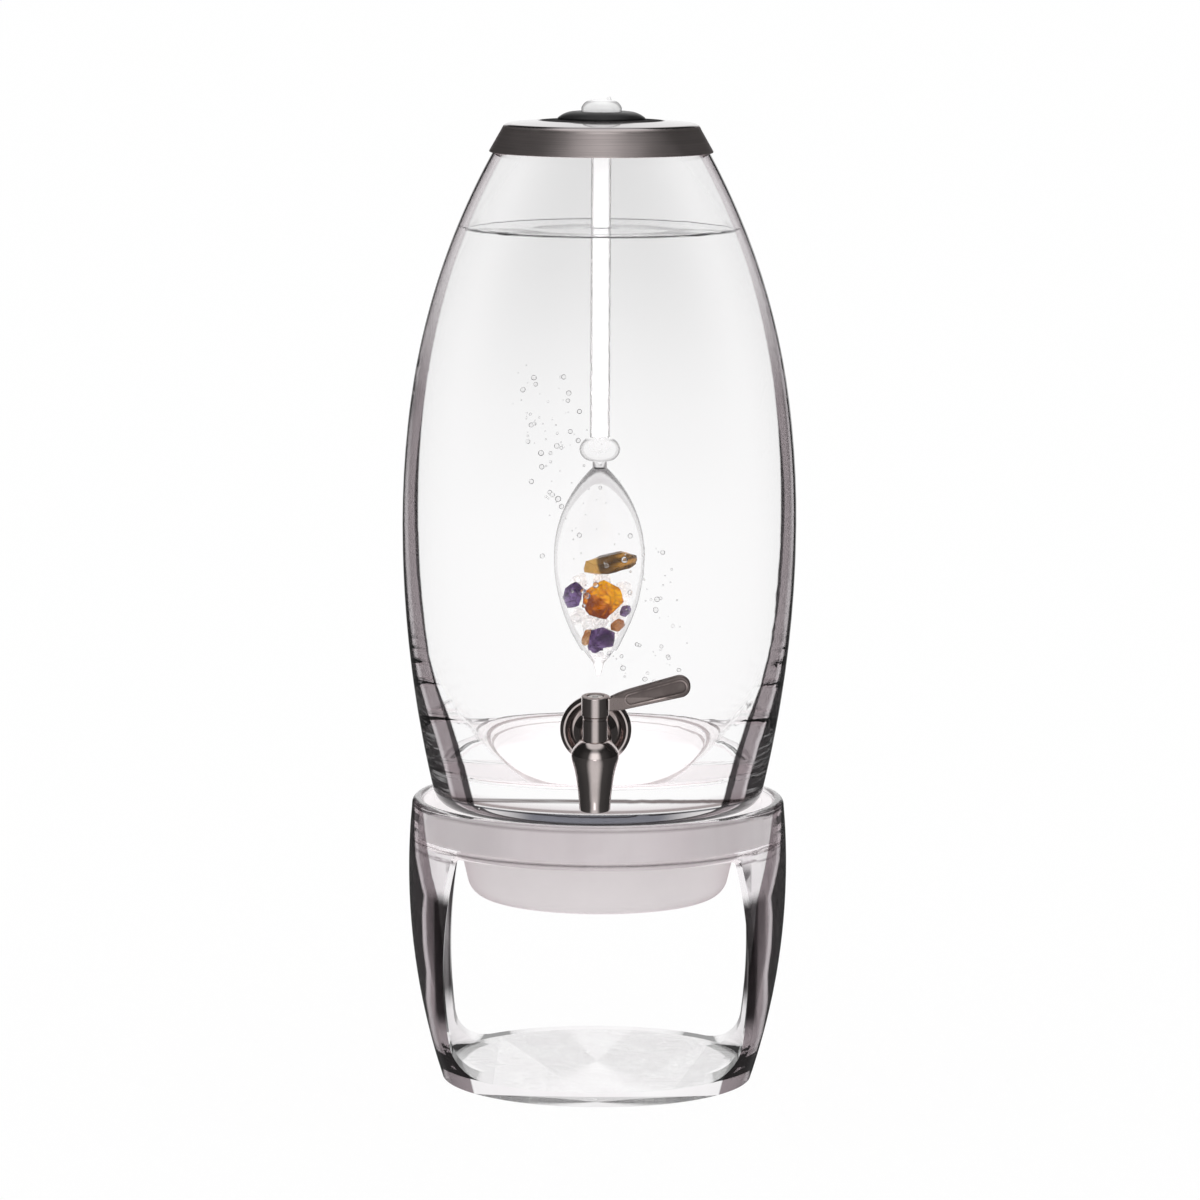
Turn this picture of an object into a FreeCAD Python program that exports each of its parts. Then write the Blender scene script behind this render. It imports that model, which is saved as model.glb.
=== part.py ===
"""Glass drink dispenser: a thick-walled barrel vessel on a clear glass stand.

A frosted bowl sits in the ring of the stand and carries the vessel. A steel lid
covers the mouth and holds a rubber stopper, from which a blown glass wand with
stones in its vial hangs in the drink. A quarter-turn tap goes through the wall
low on the front.

Millimetres, +Z up. The origin is the centre of the flat underside of the stand,
and the tap faces -Y.
"""
import FreeCAD, Part
import math
import os
from types import SimpleNamespace

import Sketcher
from FreeCAD import Placement, Rotation, Vector

SHEET = "Sizes"

# Driving sizes, each written once. Lengths in millimetres, angles in degrees.
DRIVING = {
    # Stand: one piece of clear glass, a ring and a foot joined by two side legs
    "stand_widest_drop": 20.5,
    "stand_curve": 400.0,
    "ring_wall": 4.45,
    "leg_wall": 8.0,
    "foot_thickness": 9.0,
    "foot_inner_round": 14.0,
    "ledge_height": 145.5,
    "ledge_thickness": 4.0,
    "ledge_width": 20.3,
    "leg_width": 22.4,
    "arch_widest_height": 70.0,
    "arch_side_curve": 300.0,
    "arch_top_round": 3.0,
    "arch_foot_round": 22.0,
    # Frosted bowl: its flange rests on the ledge, its basin hangs through the hole
    "flange_rim": 8.1,
    "flange_gap": 0.3,
    "flange_thickness": 19.0,
    "flange_round": 2.0,
    "seat_depth": 2.5,
    "seat_gap": 1.5,
    "basin_gap": 1.0,
    "basin_taper": 9.0,
    "basin_depth": 37.5,
    "basin_round": 12.0,
    "basin_wall": 5.0,
    # Vessel: outside from base to rim, then the cavity
    "belly_radius": 115.0,
    "belly_rise": 166.0,
    "lower_curve": 680.0,
    "upper_curve": 540.0,
    "shoulder_rise": 72.0,
    "shoulder_curve": 415.0,
    "neck_rise": 154.0,
    "base_round": 12.0,
    "base_thickness": 23.0,
    "belly_wall": 7.5,
    "wall_taper_lower": 120.0,
    "wall_taper_upper": 125.0,
    "wall_taper_shoulder": 35.0,
    "heel_drop": 60.0,
    "heel_curve": 170.0,
    "floor_round": 8.0,
    "rim_round": 1.4,
    # Lid: spun steel cap over the neck, with a seal ring under it
    "lid_gap": 0.4,
    "lid_skirt_wall": 1.7,
    "lid_skirt_depth": 10.0,
    "lid_lip_round": 0.7,
    "lid_sheet": 1.8,
    "lid_crown_rise": 2.5,
    "lid_crown_curve": 450.0,
    "lid_edge_curve": 5.0,
    "lid_edge_width": 5.4,
    "lid_edge_height": 3.4,
    "seal_thickness": 4.4,
    "seal_width": 4.6,
    "seal_inset": 0.8,
    # Stopper: rubber grommet in the hole of the lid
    "stopper_radius": 25.3,
    "stopper_edge": 0.6,
    "stopper_rise": 4.1,
    "stopper_crest_radius": 13.0,
    "stopper_crown_curve": 15.0,
    "stopper_waist_radius": 20.2,
    "stopper_waist_gap": 0.15,
    "stopper_foot_radius": 23.4,
    "stopper_foot_thickness": 3.0,
    # Wand: knob, tube, bead and sealed vial of one blown piece
    "tube_radius": 5.8,
    "tube_wall": 1.4,
    "tube_fit": 0.05,
    "tube_length": 190.4,
    "knob_radius": 11.7,
    "knob_height": 6.6,
    "knob_crown_rise": 0.6,
    "knob_peak_offset": 4.3,
    "knob_peak_radius": 1.7,
    "knob_peak_height": 3.4,
    "bead_radius": 11.9,
    "bead_height": 13.8,
    "neck_length": 3.8,
    "neck_radius": 4.2,
    "vial_radius": 26.6,
    "vial_upper_length": 50.9,
    "vial_lower_length": 65.5,
    "vial_wall": 1.8,
    "vial_foot_radius": 3.1,
    "vial_tip_length": 10.0,
    "vial_tip_radius": 1.2,
    # Tap: its own frame has the valve axis upright and the shank running inwards
    "tap_rise": 58.5,
    "tap_lean": 6.0,
    "shank_radius": 8.0,
    "shank_fit": 0.2,
    "shank_stand_out": 3.5,
    "waterway_radius": 4.2,
    "collar_radius": 12.5,
    "collar_depth": 24.5,
    "collar_width": 3.6,
    "collar_waist_radius": 7.4,
    "collar_waist_depth": 9.5,
    "collar_curve": 14.0,
    "chamber_radius": 5.0,
    "chamber_depth": 8.0,
    "chamber_rise": 6.0,
    "boss_radius": 7.1,
    "boss_rise": 9.6,
    "bonnet_spigot_radius": 6.0,
    "bonnet_rise": 14.7,
    "bonnet_lip": 1.2,
    "bonnet_groove_width": 0.9,
    "bonnet_groove_depth": 0.5,
    "spout_length": 38.8,
    "spout_sweep": 4.4,
    "spout_top_radius": 7.3,
    "spout_shoulder_radius": 12.9,
    "spout_cheek_radius": 13.1,
    "spout_waist_radius": 11.6,
    "spout_middle_radius": 10.5,
    "spout_lower_radius": 9.75,
    "spout_mouth_radius": 9.1,
    "spout_tip_radius": 8.6,
    "outlet_middle_radius": 4.8,
    "outlet_tip_radius": 6.6,
    "flange_plate_radius": 20.2,
    "flange_plate_thickness": 4.0,
    "flange_plate_seat": 1.6,
    "flange_plate_bevel": 1.9,
    "flange_dish_curve": 6.0,
    "outer_gasket_radius": 18.0,
    "outer_gasket_thickness": 1.65,
    "outer_gasket_reach": 7.0,
    "inner_gasket_radius": 13.0,
    "inner_gasket_thickness": 4.05,
    "inner_gasket_reach": 8.5,
    "tap_hole_gap": 1.0,
    "washer_radius": 13.0,
    "washer_thickness": 1.5,
    "nut_width": 24.0,
    "nut_thickness": 6.0,
    # Valve: plug, seals and lever turn together
    "valve_fit": 0.05,
    "plug_port_radius": 2.9,
    "stem_radius": 3.0,
    "stem_washer_thickness": 0.7,
    "ring_section": 0.5,
    "ring_height": 4.3,
    "stem_square": 4.4,
    "square_fit": 0.1,
    "hub_gap": 0.4,
    "hub_radius": 7.8,
    "hub_height": 11.0,
    "hub_round": 0.7,
    "hub_web": 3.6,
    "screw_head_radius": 4.9,
    "screw_head_thickness": 2.2,
    "screw_head_inset": 0.6,
    "screw_socket_radius": 1.9,
    "screw_radius": 1.5,
    "screw_length": 9.0,
    "pin_radius": 0.8,
    "pin_orbit": 5.5,
    "pin_stand_out": 2.0,
    "pin_gap": 0.3,
    "valve_swing": 90.0,
    # Lever: flat blade on edge with a sunk panel in each face
    "blade_thickness": 5.0,
    "blade_root_low": 2.2,
    "blade_root_high": 8.0,
    "blade_low_turn": 15.0,
    "blade_low_rise": 3.2,
    "blade_high_turn": 22.5,
    "blade_high_rise": 16.0,
    "blade_reach": 47.6,
    "blade_tip_rise": 17.0,
    "blade_tip_radius": 6.2,
    "blade_edge_round": 0.9,
    "panel_start": 20.0,
    "panel_start_drop": 7.4,
    "panel_start_radius": 2.8,
    "panel_tip_radius": 3.4,
    "panel_depth": 0.7,
    "panel_bead_width": 0.8,
    "panel_bead_height": 0.4,
}

# The stones lie in the vial. Lengths here are in hundredths of the vial's radius.
# A stone has its middle (across, in depth, below the widest ring), its half sizes
# (across, in depth, upwards) and its tilt in degrees as seen from the front.
STONES = {
    "tiger_eye": (
        ((24.4, -0.7, 17.3), (63.9, 20.7, 18.8), 13.0),
    ),
    "citrine": (
        ((7.7, -34.6, 92.5), (44.4, 28.2, 41.4), 24.0),
    ),
    "amethyst_stones": (
        ((-56.0, -16.5, 84.6), (20.3, 18.8, 29.3), -14.0),
        ((6.3, -21.8, 178.2), (30.1, 18.0, 21.1), 8.0),
        ((-7.6, 6.7, 204.1), (17.3, 13.5, 17.3), 30.0),
        ((58.0, -14.3, 119.9), (10.5, 12.0, 13.5), -20.0),
    ),
    "jasper_slivers": (
        ((-26.4, 2.8, 179.7), (9.8, 9.8, 20.3), -28.0),
        ((40.5, -17.7, 150.8), (17.3, 9.8, 12.0), 26.0),
    ),
    "quartz_chips": (
        ((-45.2, 22.5, 61.3), (18.8, 19.5, 16.5), 20.0),
        ((5.7, 36.8, 55.6), (22.6, 18.8, 17.3), -35.0),
        ((55.8, 23.1, 76.7), (18.0, 18.8, 18.0), 15.0),
        ((-54.4, 23.1, 97.4), (17.3, 18.8, 17.3), 40.0),
        ((-19.3, 48.7, 89.8), (20.3, 17.3, 18.8), -10.0),
        ((25.3, 51.7, 88.0), (19.5, 18.0, 19.5), 33.0),
        ((-46.7, 13.9, 133.5), (17.3, 16.5, 17.3), -22.0),
        ((0.4, 41.5, 126.3), (22.6, 19.5, 20.3), 12.0),
        ((49.6, 27.3, 113.2), (16.5, 18.0, 17.3), -40.0),
        ((-22.9, -13.5, 145.9), (17.3, 15.8, 15.8), 25.0),
        ((40.0, 7.9, 139.1), (15.8, 15.8, 15.8), -18.0),
        ((3.0, 12.9, 150.4), (18.0, 17.3, 16.5), 38.0),
        ((-22.6, 27.2, 169.5), (13.5, 14.3, 15.0), 5.0),
        ((31.3, 19.3, 169.9), (12.8, 14.3, 14.3), 30.0),
        ((6.1, 26.6, 182.0), (14.3, 13.5, 13.5), -30.0),
        ((20.8, 7.9, 194.7), (11.3, 12.0, 12.8), 12.0),
        ((-48.5, -24.0, 135.3), (12.0, 11.3, 12.8), -16.0),
        ((2.4, -4.2, 225.8), (9.8, 9.0, 9.0), 20.0),
    ),
}
STONE_VIAL_DEPTH = 246.2
STONE_FACETS = 13
STONE_TRIM = 0.93


class Size:
    """A length that carries its number and the sheet expression it comes from."""

    def __init__(self, value, text):
        self.value = value
        self.text = text

    def __add__(self, other):
        return combine(self, "+", other)

    def __radd__(self, other):
        return combine(other, "+", self)

    def __sub__(self, other):
        return combine(self, "-", other)

    def __rsub__(self, other):
        return combine(other, "-", self)

    def __mul__(self, other):
        return combine(self, "*", other)

    def __rmul__(self, other):
        return combine(other, "*", self)

    def __truediv__(self, other):
        return combine(self, "/", other)

    def __neg__(self):
        return combine(0, "-", self)


def as_size(number):
    if isinstance(number, Size):
        return number
    return Size(float(number), repr(float(number)))


def combine(left, sign, right):
    left = as_size(left)
    right = as_size(right)
    numbers = {
        "+": lambda: left.value + right.value,
        "-": lambda: left.value - right.value,
        "*": lambda: left.value * right.value,
        "/": lambda: left.value / right.value,
    }
    return Size(numbers[sign](), f"({left.text} {sign} {right.text})")


def root(size):
    return Size(math.sqrt(size.value), f"sqrt{size.text}")


def cosine(degrees):
    return Size(math.cos(math.radians(degrees.value)), f"cos({degrees.text} * 1deg)")


def sine(degrees):
    return Size(math.sin(math.radians(degrees.value)), f"sin({degrees.text} * 1deg)")


doc = FreeCAD.newDocument("Dispenser")


def make_sheet():
    """Write the driving sizes to the sheet and give back a Size for each alias."""
    sheet = doc.addObject("Spreadsheet::Sheet", SHEET)
    found = {}
    for row, (alias, number) in enumerate(DRIVING.items(), start=1):
        sheet.set(f"A{row}", alias.replace("_", " "))
        sheet.set(f"B{row}", str(number))
        sheet.setAlias(f"B{row}", alias)
        found[alias] = Size(number, f"{SHEET}.{alias}")
    doc.recompute()
    return SimpleNamespace(**found)


d = make_sheet()


# Sketches and features

def plane_of(body, role):
    for feature in body.Origin.OriginFeatures:
        if feature.Role == role:
            return feature
    raise ValueError(role)


def new_body(label):
    body = doc.addObject("PartDesign::Body", label)
    body.Label = label
    return body


def bind(target, path, size):
    target.setExpression(path, size.text)


def new_sketch(body, name, plane, offset=None):
    sketch = body.newObject("Sketcher::SketchObject", name)
    sketch.AttachmentSupport = [(plane_of(body, plane), "")]
    sketch.MapMode = "FlatFace"
    if offset is not None:
        sketch.AttachmentOffset = Placement(Vector(0, 0, offset.value), Rotation())
        bind(sketch, "AttachmentOffset.Base.z", offset)
    return sketch


def left_bend(radius):
    """An arc to the next corner whose centre lies left of the way there."""
    return (1, as_size(radius))


def right_bend(radius):
    """An arc to the next corner whose centre lies right of the way there."""
    return (-1, as_size(radius))


def arc_between(start, end, side, radius):
    chord = end - start
    across = Vector(-chord.y, chord.x, 0).normalize()
    reach = math.sqrt(radius ** 2 - (chord.Length / 2) ** 2)
    centre = (start + end) * 0.5 + across * (side * reach)
    first, last = (start, end) if side > 0 else (end, start)
    begin = math.atan2(first.y - centre.y, first.x - centre.x)
    finish = math.atan2(last.y - centre.y, last.x - centre.x)
    return Part.ArcOfCircle(Part.Circle(centre, Vector(0, 0, 1), radius), begin, finish)


def fix_point(sketch, geometry, end, x, y, name):
    for axis, kind, line, size in (("across", "DistanceX", -2, x), ("up", "DistanceY", -1, y)):
        size = as_size(size)
        if size.text == "0.0":
            sketch.addConstraint(Sketcher.Constraint("PointOnObject", geometry, end, line))
            continue
        index = sketch.addConstraint(Sketcher.Constraint(kind, geometry, end, size.value))
        sketch.renameConstraint(index, f"{axis}_{name}")
        bind(sketch, f"Constraints.{axis}_{name}", size)


def draw_outline(sketch, corners, tag=""):
    """Draw a closed outline. A corner is (x, y) or (x, y, bend to the next corner)."""
    points = [Vector(as_size(c[0]).value, as_size(c[1]).value, 0) for c in corners]
    ends = []
    for number, corner in enumerate(corners):
        start = points[number]
        finish = points[(number + 1) % len(points)]
        if len(corner) == 2:
            geometry = sketch.addGeometry(Part.LineSegment(start, finish))
            ends.append((geometry, 1, 2))
            continue
        side, radius = corner[2]
        geometry = sketch.addGeometry(arc_between(start, finish, side, radius.value))
        ends.append((geometry, 1, 2) if side > 0 else (geometry, 2, 1))
        index = sketch.addConstraint(Sketcher.Constraint("Radius", geometry, radius.value))
        sketch.renameConstraint(index, f"bend_{tag}{number}")
        bind(sketch, f"Constraints.bend_{tag}{number}", radius)
    for number, corner in enumerate(corners):
        geometry, start, _ = ends[number]
        before, _, finish = ends[number - 1]
        sketch.addConstraint(Sketcher.Constraint("Coincident", before, finish, geometry, start))
        fix_point(sketch, geometry, start, corner[0], corner[1], f"{tag}{number}")


def draw_circle(sketch, radius, x=0.0, y=0.0, tag=""):
    centre = Vector(as_size(x).value, as_size(y).value, 0)
    circle = Part.Circle(centre, Vector(0, 0, 1), radius.value)
    geometry = sketch.addGeometry(circle)
    index = sketch.addConstraint(Sketcher.Constraint("Radius", geometry, radius.value))
    sketch.renameConstraint(index, f"radius_{tag}")
    bind(sketch, f"Constraints.radius_{tag}", radius)
    fix_point(sketch, geometry, 3, x, y, f"centre_{tag}")


def revolve(body, corners, plane="XZ_Plane", kind="Revolution", name="turned"):
    """Turn an outline about the upright axis of its plane."""
    sketch = new_sketch(body, f"{name}_outline", plane)
    draw_outline(sketch, corners)
    feature = body.newObject(f"PartDesign::{kind}", name)
    feature.Profile = (sketch, [""])
    feature.ReferenceAxis = (sketch, ["V_Axis"])
    feature.Angle = 360.0
    sketch.Visibility = False
    return feature


def pad(body, sketch, length, kind="Pad", both_ways=False, backwards=False, name="pad"):
    feature = body.newObject(f"PartDesign::{kind}", name)
    feature.Profile = (sketch, [""])
    feature.Length = length.value
    bind(feature, "Length", length)
    if both_ways:
        feature.SideType = "Symmetric"
    feature.Reversed = backwards
    return feature


def cylinder_pad(body, radius, low, high, x=0.0, y=0.0, kind="Pad", name="round"):
    """A cylinder along Z between two heights, added to the body or cut from it."""
    sketch = new_sketch(body, f"{name}_circle", "XY_Plane", low)
    draw_circle(sketch, radius, x, y)
    return pad(body, sketch, high - low, kind, backwards=(kind == "Pocket"), name=name)


def round_edges(body, feature, radius, wanted, kind="Fillet", name="rounded"):
    """Round the edges of a feature that a test picks out."""
    doc.recompute()
    names = [
        f"Edge{number}"
        for number, edge in enumerate(feature.Shape.Edges, start=1)
        if wanted(edge)
    ]
    if not names:
        raise ValueError(f"{body.Label}: no edge to round")
    fillet = body.newObject(f"PartDesign::{kind}", name)
    fillet.Base = (feature, names)
    path = "Radius" if kind == "Fillet" else "Size"
    setattr(fillet, path, radius.value)
    bind(fillet, path, radius)
    return fillet


def on_tap_axis(item):
    """Place an item by the tap's own frame, which leans out with the wall."""
    item.Placement = Placement(
        Vector(0, -tap_reach.value, tap_height.value),
        Rotation(Vector(1, 0, 0), d.tap_lean.value),
    )
    bind(item, "Placement.Base.y", -tap_reach)
    bind(item, "Placement.Base.z", tap_height)
    bind(item, "Placement.Rotation.Angle", d.tap_lean)
    return item


def cut(label, base, tool):
    result = doc.addObject("Part::Cut", label)
    result.Label = label
    result.Base = base
    result.Tool = tool
    result.Refine = False
    return result


# Curves shared by more than one piece

def below_arc(widest, curve, rise):
    """Radius of a curved wall at a height away from its widest ring."""
    return widest - curve + root(curve * curve - rise * rise)


def curve_through(rise, run):
    """Curve that leaves its widest ring upright and moves in by a run over a rise."""
    return (rise * rise / run + run) / 2


def touch_level(centre_x, centre_y, curve, level, bend, upwards=1):
    """Where a small round leaves a level line, and where it meets a larger arc."""
    rise = level + upwards * bend - centre_y
    inner = curve - bend
    reach = root(inner * inner - rise * rise)
    on_level = (centre_x + reach, level)
    on_arc = (centre_x + reach * curve / inner, centre_y + rise * curve / inner)
    return on_level, on_arc


class Wall:
    """A barrel wall: an arc about the widest ring, then a tighter arc above it."""

    def __init__(self, widest, height, upper, shoulder_rise, shoulder):
        self.widest = widest
        self.height = height
        self.upper = upper
        self.shoulder_rise = shoulder_rise
        self.shoulder = shoulder
        self.turn = shoulder_rise / upper
        self.turn_cosine = root(1 - self.turn * self.turn)
        self.shoulder_radius = widest - upper * (1 - self.turn_cosine)
        self.shoulder_height = height + shoulder_rise

    def radius_above(self, height):
        lean = self.turn + (height - self.shoulder_height) / self.shoulder
        return self.shoulder_radius - self.shoulder * (self.turn_cosine - root(1 - lean * lean))


# Sizes that pieces share, from the seat of the vessel outwards and upwards
seat_radius = below_arc(d.belly_radius, d.lower_curve, d.belly_rise) + d.seat_gap
flange_radius = seat_radius + d.flange_rim
ring_bore = flange_radius + d.flange_gap
ledge_hole_radius = ring_bore - d.ledge_width
basin_radius = ledge_hole_radius - d.basin_gap
flange_top = d.ledge_height + d.flange_thickness
stand_height = flange_top + d.flange_round
stand_widest_height = d.ledge_height - d.stand_widest_drop
stand_radius = (ring_bore + d.ring_wall + d.stand_curve
                - root(d.stand_curve * d.stand_curve
                       - (stand_height - stand_widest_height) * (stand_height - stand_widest_height)))
seat_height = flange_top - d.seat_depth
basin_floor_height = d.ledge_height - d.basin_depth
belly_height = seat_height + d.belly_rise
outer_wall = Wall(d.belly_radius, belly_height, d.upper_curve, d.shoulder_rise, d.shoulder_curve)
inner_wall = Wall(
    d.belly_radius - d.belly_wall,
    belly_height,
    d.upper_curve + d.wall_taper_upper,
    d.shoulder_rise,
    d.shoulder_curve - d.wall_taper_shoulder,
)
rim_height = outer_wall.shoulder_height + d.neck_rise
rim_radius = outer_wall.radius_above(rim_height)
mouth_radius = inner_wall.radius_above(rim_height)
cavity_floor = seat_height + d.base_thickness
inner_lower_curve = d.lower_curve - d.wall_taper_lower
heel_height = belly_height - d.heel_drop
heel_radius = below_arc(inner_wall.widest, inner_lower_curve, d.heel_drop)
heel_share = d.heel_curve / inner_lower_curve
heel_centre_x = heel_radius - heel_share * root(inner_lower_curve * inner_lower_curve
                                                - d.heel_drop * d.heel_drop)
heel_centre_y = heel_height + heel_share * d.heel_drop
lid_land = rim_height + d.seal_thickness
skirt_bottom = rim_height - d.lid_skirt_depth
lid_edge_radius = rim_radius + d.lid_gap - d.seal_inset
crown_edge_height = lid_land + d.lid_sheet + 0.6
lid_hole_radius = d.stopper_waist_radius + d.stopper_waist_gap
lid_land_radius = lid_edge_radius - d.seal_width - d.seal_inset
crown_height = crown_edge_height + d.lid_crown_rise
stopper_top = crown_height + d.stopper_rise
bead_top = stopper_top - d.tube_length
bead_bottom = bead_top - d.bead_height
neck_bottom = bead_bottom - d.neck_length
vial_widest_height = neck_bottom - d.vial_upper_length
vial_tip_start = vial_widest_height - d.vial_lower_length
vial_upper_curve = curve_through(d.vial_upper_length, d.vial_radius - d.neck_radius)
vial_lower_curve = curve_through(d.vial_lower_length, d.vial_radius - d.vial_foot_radius)
plate_back = d.collar_depth + d.flange_plate_thickness - d.flange_plate_seat
tap_height = seat_height + d.tap_rise
tap_wall_outer = below_arc(d.belly_radius, d.lower_curve, d.belly_rise - d.tap_rise)
tap_wall_inner = below_arc(heel_centre_x + d.heel_curve, d.heel_curve, heel_centre_y - tap_height)
tap_reach = tap_wall_outer + d.outer_gasket_thickness + plate_back
grip_depth = tap_reach - tap_wall_inner + d.inner_gasket_thickness
shank_length = grip_depth + d.washer_thickness + d.nut_thickness + d.shank_stand_out
hub_bottom = d.bonnet_rise + d.hub_gap
hub_top = hub_bottom + d.hub_height


# Stand and bowl

def stand_wall(inset, height):
    return below_arc(stand_radius - inset, d.stand_curve - inset, height - stand_widest_height)


def make_stand():
    """Turned glass shell with a ledge, opened front and back by an arched window."""
    body = new_body("stand")
    ledge_bottom = d.ledge_height - d.ledge_thickness
    shell_centre = stand_radius - d.stand_curve
    inner_curve = d.stand_curve - d.leg_wall
    floor_level, floor_arc = touch_level(
        shell_centre, stand_widest_height, inner_curve, d.foot_thickness, d.foot_inner_round)
    revolve(body, [
        (0, 0),
        (stand_wall(0, as_size(0)), 0, left_bend(d.stand_curve)),
        (stand_wall(0, stand_height), stand_height),
        (ring_bore, stand_height),
        (ring_bore, d.ledge_height),
        (ledge_hole_radius, d.ledge_height),
        (ledge_hole_radius, ledge_bottom),
        (stand_wall(d.leg_wall, ledge_bottom), ledge_bottom, right_bend(inner_curve)),
        (floor_arc[0], floor_arc[1], right_bend(d.foot_inner_round)),
        floor_level,
        (0, d.foot_thickness),
    ], name="shell")

    window = new_sketch(body, "window_outline", "XZ_Plane")
    side_centre = stand_radius - d.leg_width - d.arch_side_curve
    foot_level, foot_arc = touch_level(
        side_centre, d.arch_widest_height, d.arch_side_curve, d.foot_thickness, d.arch_foot_round)
    top_level, top_arc = touch_level(
        side_centre, d.arch_widest_height, d.arch_side_curve, ledge_bottom, d.arch_top_round, -1)
    draw_outline(window, [
        (-foot_level[0], foot_level[1]),
        (foot_level[0], foot_level[1], left_bend(d.arch_foot_round)),
        (foot_arc[0], foot_arc[1], left_bend(d.arch_side_curve)),
        (top_arc[0], top_arc[1], left_bend(d.arch_top_round)),
        (top_level[0], top_level[1]),
        (-top_level[0], top_level[1], left_bend(d.arch_top_round)),
        (-top_arc[0], top_arc[1], left_bend(d.arch_side_curve)),
        (-foot_arc[0], foot_arc[1], left_bend(d.arch_foot_round)),
    ])
    opening = pad(body, window, stand_radius * 2.2, "Pocket", both_ways=True, name="windows")

    def at_rim(edge):
        box = edge.BoundBox
        level = abs(box.ZMin - stand_height.value) < 0.01 and box.ZLength < 0.01
        return level and box.XLength > ring_bore.value * 2 + 1
    round_edges(body, opening, d.ring_wall * 0.9, at_rim, name="rim_round")
    return body


def make_support_bowl():
    """Thick flange with a shallow seat for the vessel and a basin below."""
    body = new_body("support_bowl")
    floor_radius = basin_radius - d.basin_taper
    slant = root(d.basin_taper * d.basin_taper + d.basin_depth * d.basin_depth)
    run = d.basin_round * (slant - d.basin_taper) / d.basin_depth
    across = run * d.basin_taper / slant
    up = run * d.basin_depth / slant
    inner_floor = basin_floor_height + d.basin_wall
    inner_radius = floor_radius - d.basin_wall
    inner_top_radius = inner_radius + d.basin_taper * (seat_height - inner_floor) / d.basin_depth
    revolve(body, [
        (0, basin_floor_height),
        (floor_radius - run, basin_floor_height, left_bend(d.basin_round)),
        (floor_radius + across, basin_floor_height + up),
        (basin_radius, d.ledge_height),
        (flange_radius, d.ledge_height),
        (flange_radius, flange_top - d.flange_round, left_bend(d.flange_round)),
        (flange_radius - d.flange_round, flange_top),
        (seat_radius, flange_top),
        (seat_radius, seat_height),
        (inner_top_radius, seat_height),
        (inner_radius + across, inner_floor + up, right_bend(d.basin_round)),
        (inner_radius - run, inner_floor),
        (0, inner_floor),
    ], name="bowl")
    return body


# Vessel

def make_vessel():
    """Give back the barrel without its tap hole, and the finished vessel."""
    body = new_body("vessel_blank")
    outer_centre = d.belly_radius - d.lower_curve
    base_level, base_arc = touch_level(
        outer_centre, belly_height, d.lower_curve, seat_height, d.base_round)

    floor_level, floor_arc = touch_level(
        heel_centre_x, heel_centre_y, d.heel_curve, cavity_floor, d.floor_round)

    turned = revolve(body, [
        (0, seat_height),
        (base_level[0], base_level[1], left_bend(d.base_round)),
        (base_arc[0], base_arc[1], left_bend(d.lower_curve)),
        (d.belly_radius, belly_height, left_bend(d.upper_curve)),
        (outer_wall.shoulder_radius, outer_wall.shoulder_height, left_bend(d.shoulder_curve)),
        (rim_radius, rim_height),
        (mouth_radius, rim_height, right_bend(inner_wall.shoulder)),
        (inner_wall.shoulder_radius, inner_wall.shoulder_height, right_bend(inner_wall.upper)),
        (inner_wall.widest, belly_height, right_bend(inner_lower_curve)),
        (heel_radius, heel_height, right_bend(d.heel_curve)),
        (floor_arc[0], floor_arc[1], right_bend(d.floor_round)),
        floor_level,
        (0, cavity_floor),
    ], name="barrel")

    def at_rim(edge):
        return abs(edge.BoundBox.ZMin - rim_height.value) < 0.01 and edge.BoundBox.XLength > 1
    round_edges(body, turned, d.rim_round, at_rim, name="rim_round")

    drill = on_tap_axis(new_body("tap_hole"))
    hole_radius = d.shank_radius + d.tap_hole_gap
    revolve(drill, [(0, 0), (hole_radius, 0), (hole_radius, shank_length), (0, shank_length)],
            plane="XY_Plane", name="drill")
    return body, cut("vessel", body, drill)


# Lid, seal, stopper and wand

def make_lid_shell():
    """Spun cap: crowned top, brushed conical skirt, hollow underneath."""
    body = new_body("lid_shell")
    skirt_inner = outer_wall.radius_above(skirt_bottom) + d.lid_gap
    skirt_outer = skirt_inner + d.lid_skirt_wall
    top_inner = rim_radius + d.lid_gap
    slope = (skirt_inner - top_inner) / d.lid_skirt_depth
    cone_top = crown_edge_height - d.lid_edge_height
    cone_top_radius = skirt_outer - slope * (cone_top - skirt_bottom - d.lid_lip_round)
    revolve(body, [
        (lid_hole_radius, crown_height - d.lid_sheet),
        (lid_land_radius, lid_land),
        (lid_edge_radius, lid_land),
        (top_inner, rim_height),
        (skirt_inner, skirt_bottom),
        (skirt_outer - d.lid_lip_round, skirt_bottom, left_bend(d.lid_lip_round)),
        (skirt_outer, skirt_bottom + d.lid_lip_round),
        (cone_top_radius, cone_top, left_bend(d.lid_edge_curve)),
        (cone_top_radius - d.lid_edge_width, crown_edge_height, left_bend(d.lid_crown_curve)),
        (lid_hole_radius, crown_height),
    ], name="cap")
    return body


def make_lid_seal():
    """Silicone ring between the rim of the vessel and the underside of the lid."""
    body = new_body("lid_seal")
    outer = lid_edge_radius - d.seal_inset
    inner = outer - d.seal_width
    revolve(body, [
        (inner, rim_height),
        (outer, rim_height),
        (outer, lid_land),
        (inner, lid_land),
    ], name="ring")
    return body


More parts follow.
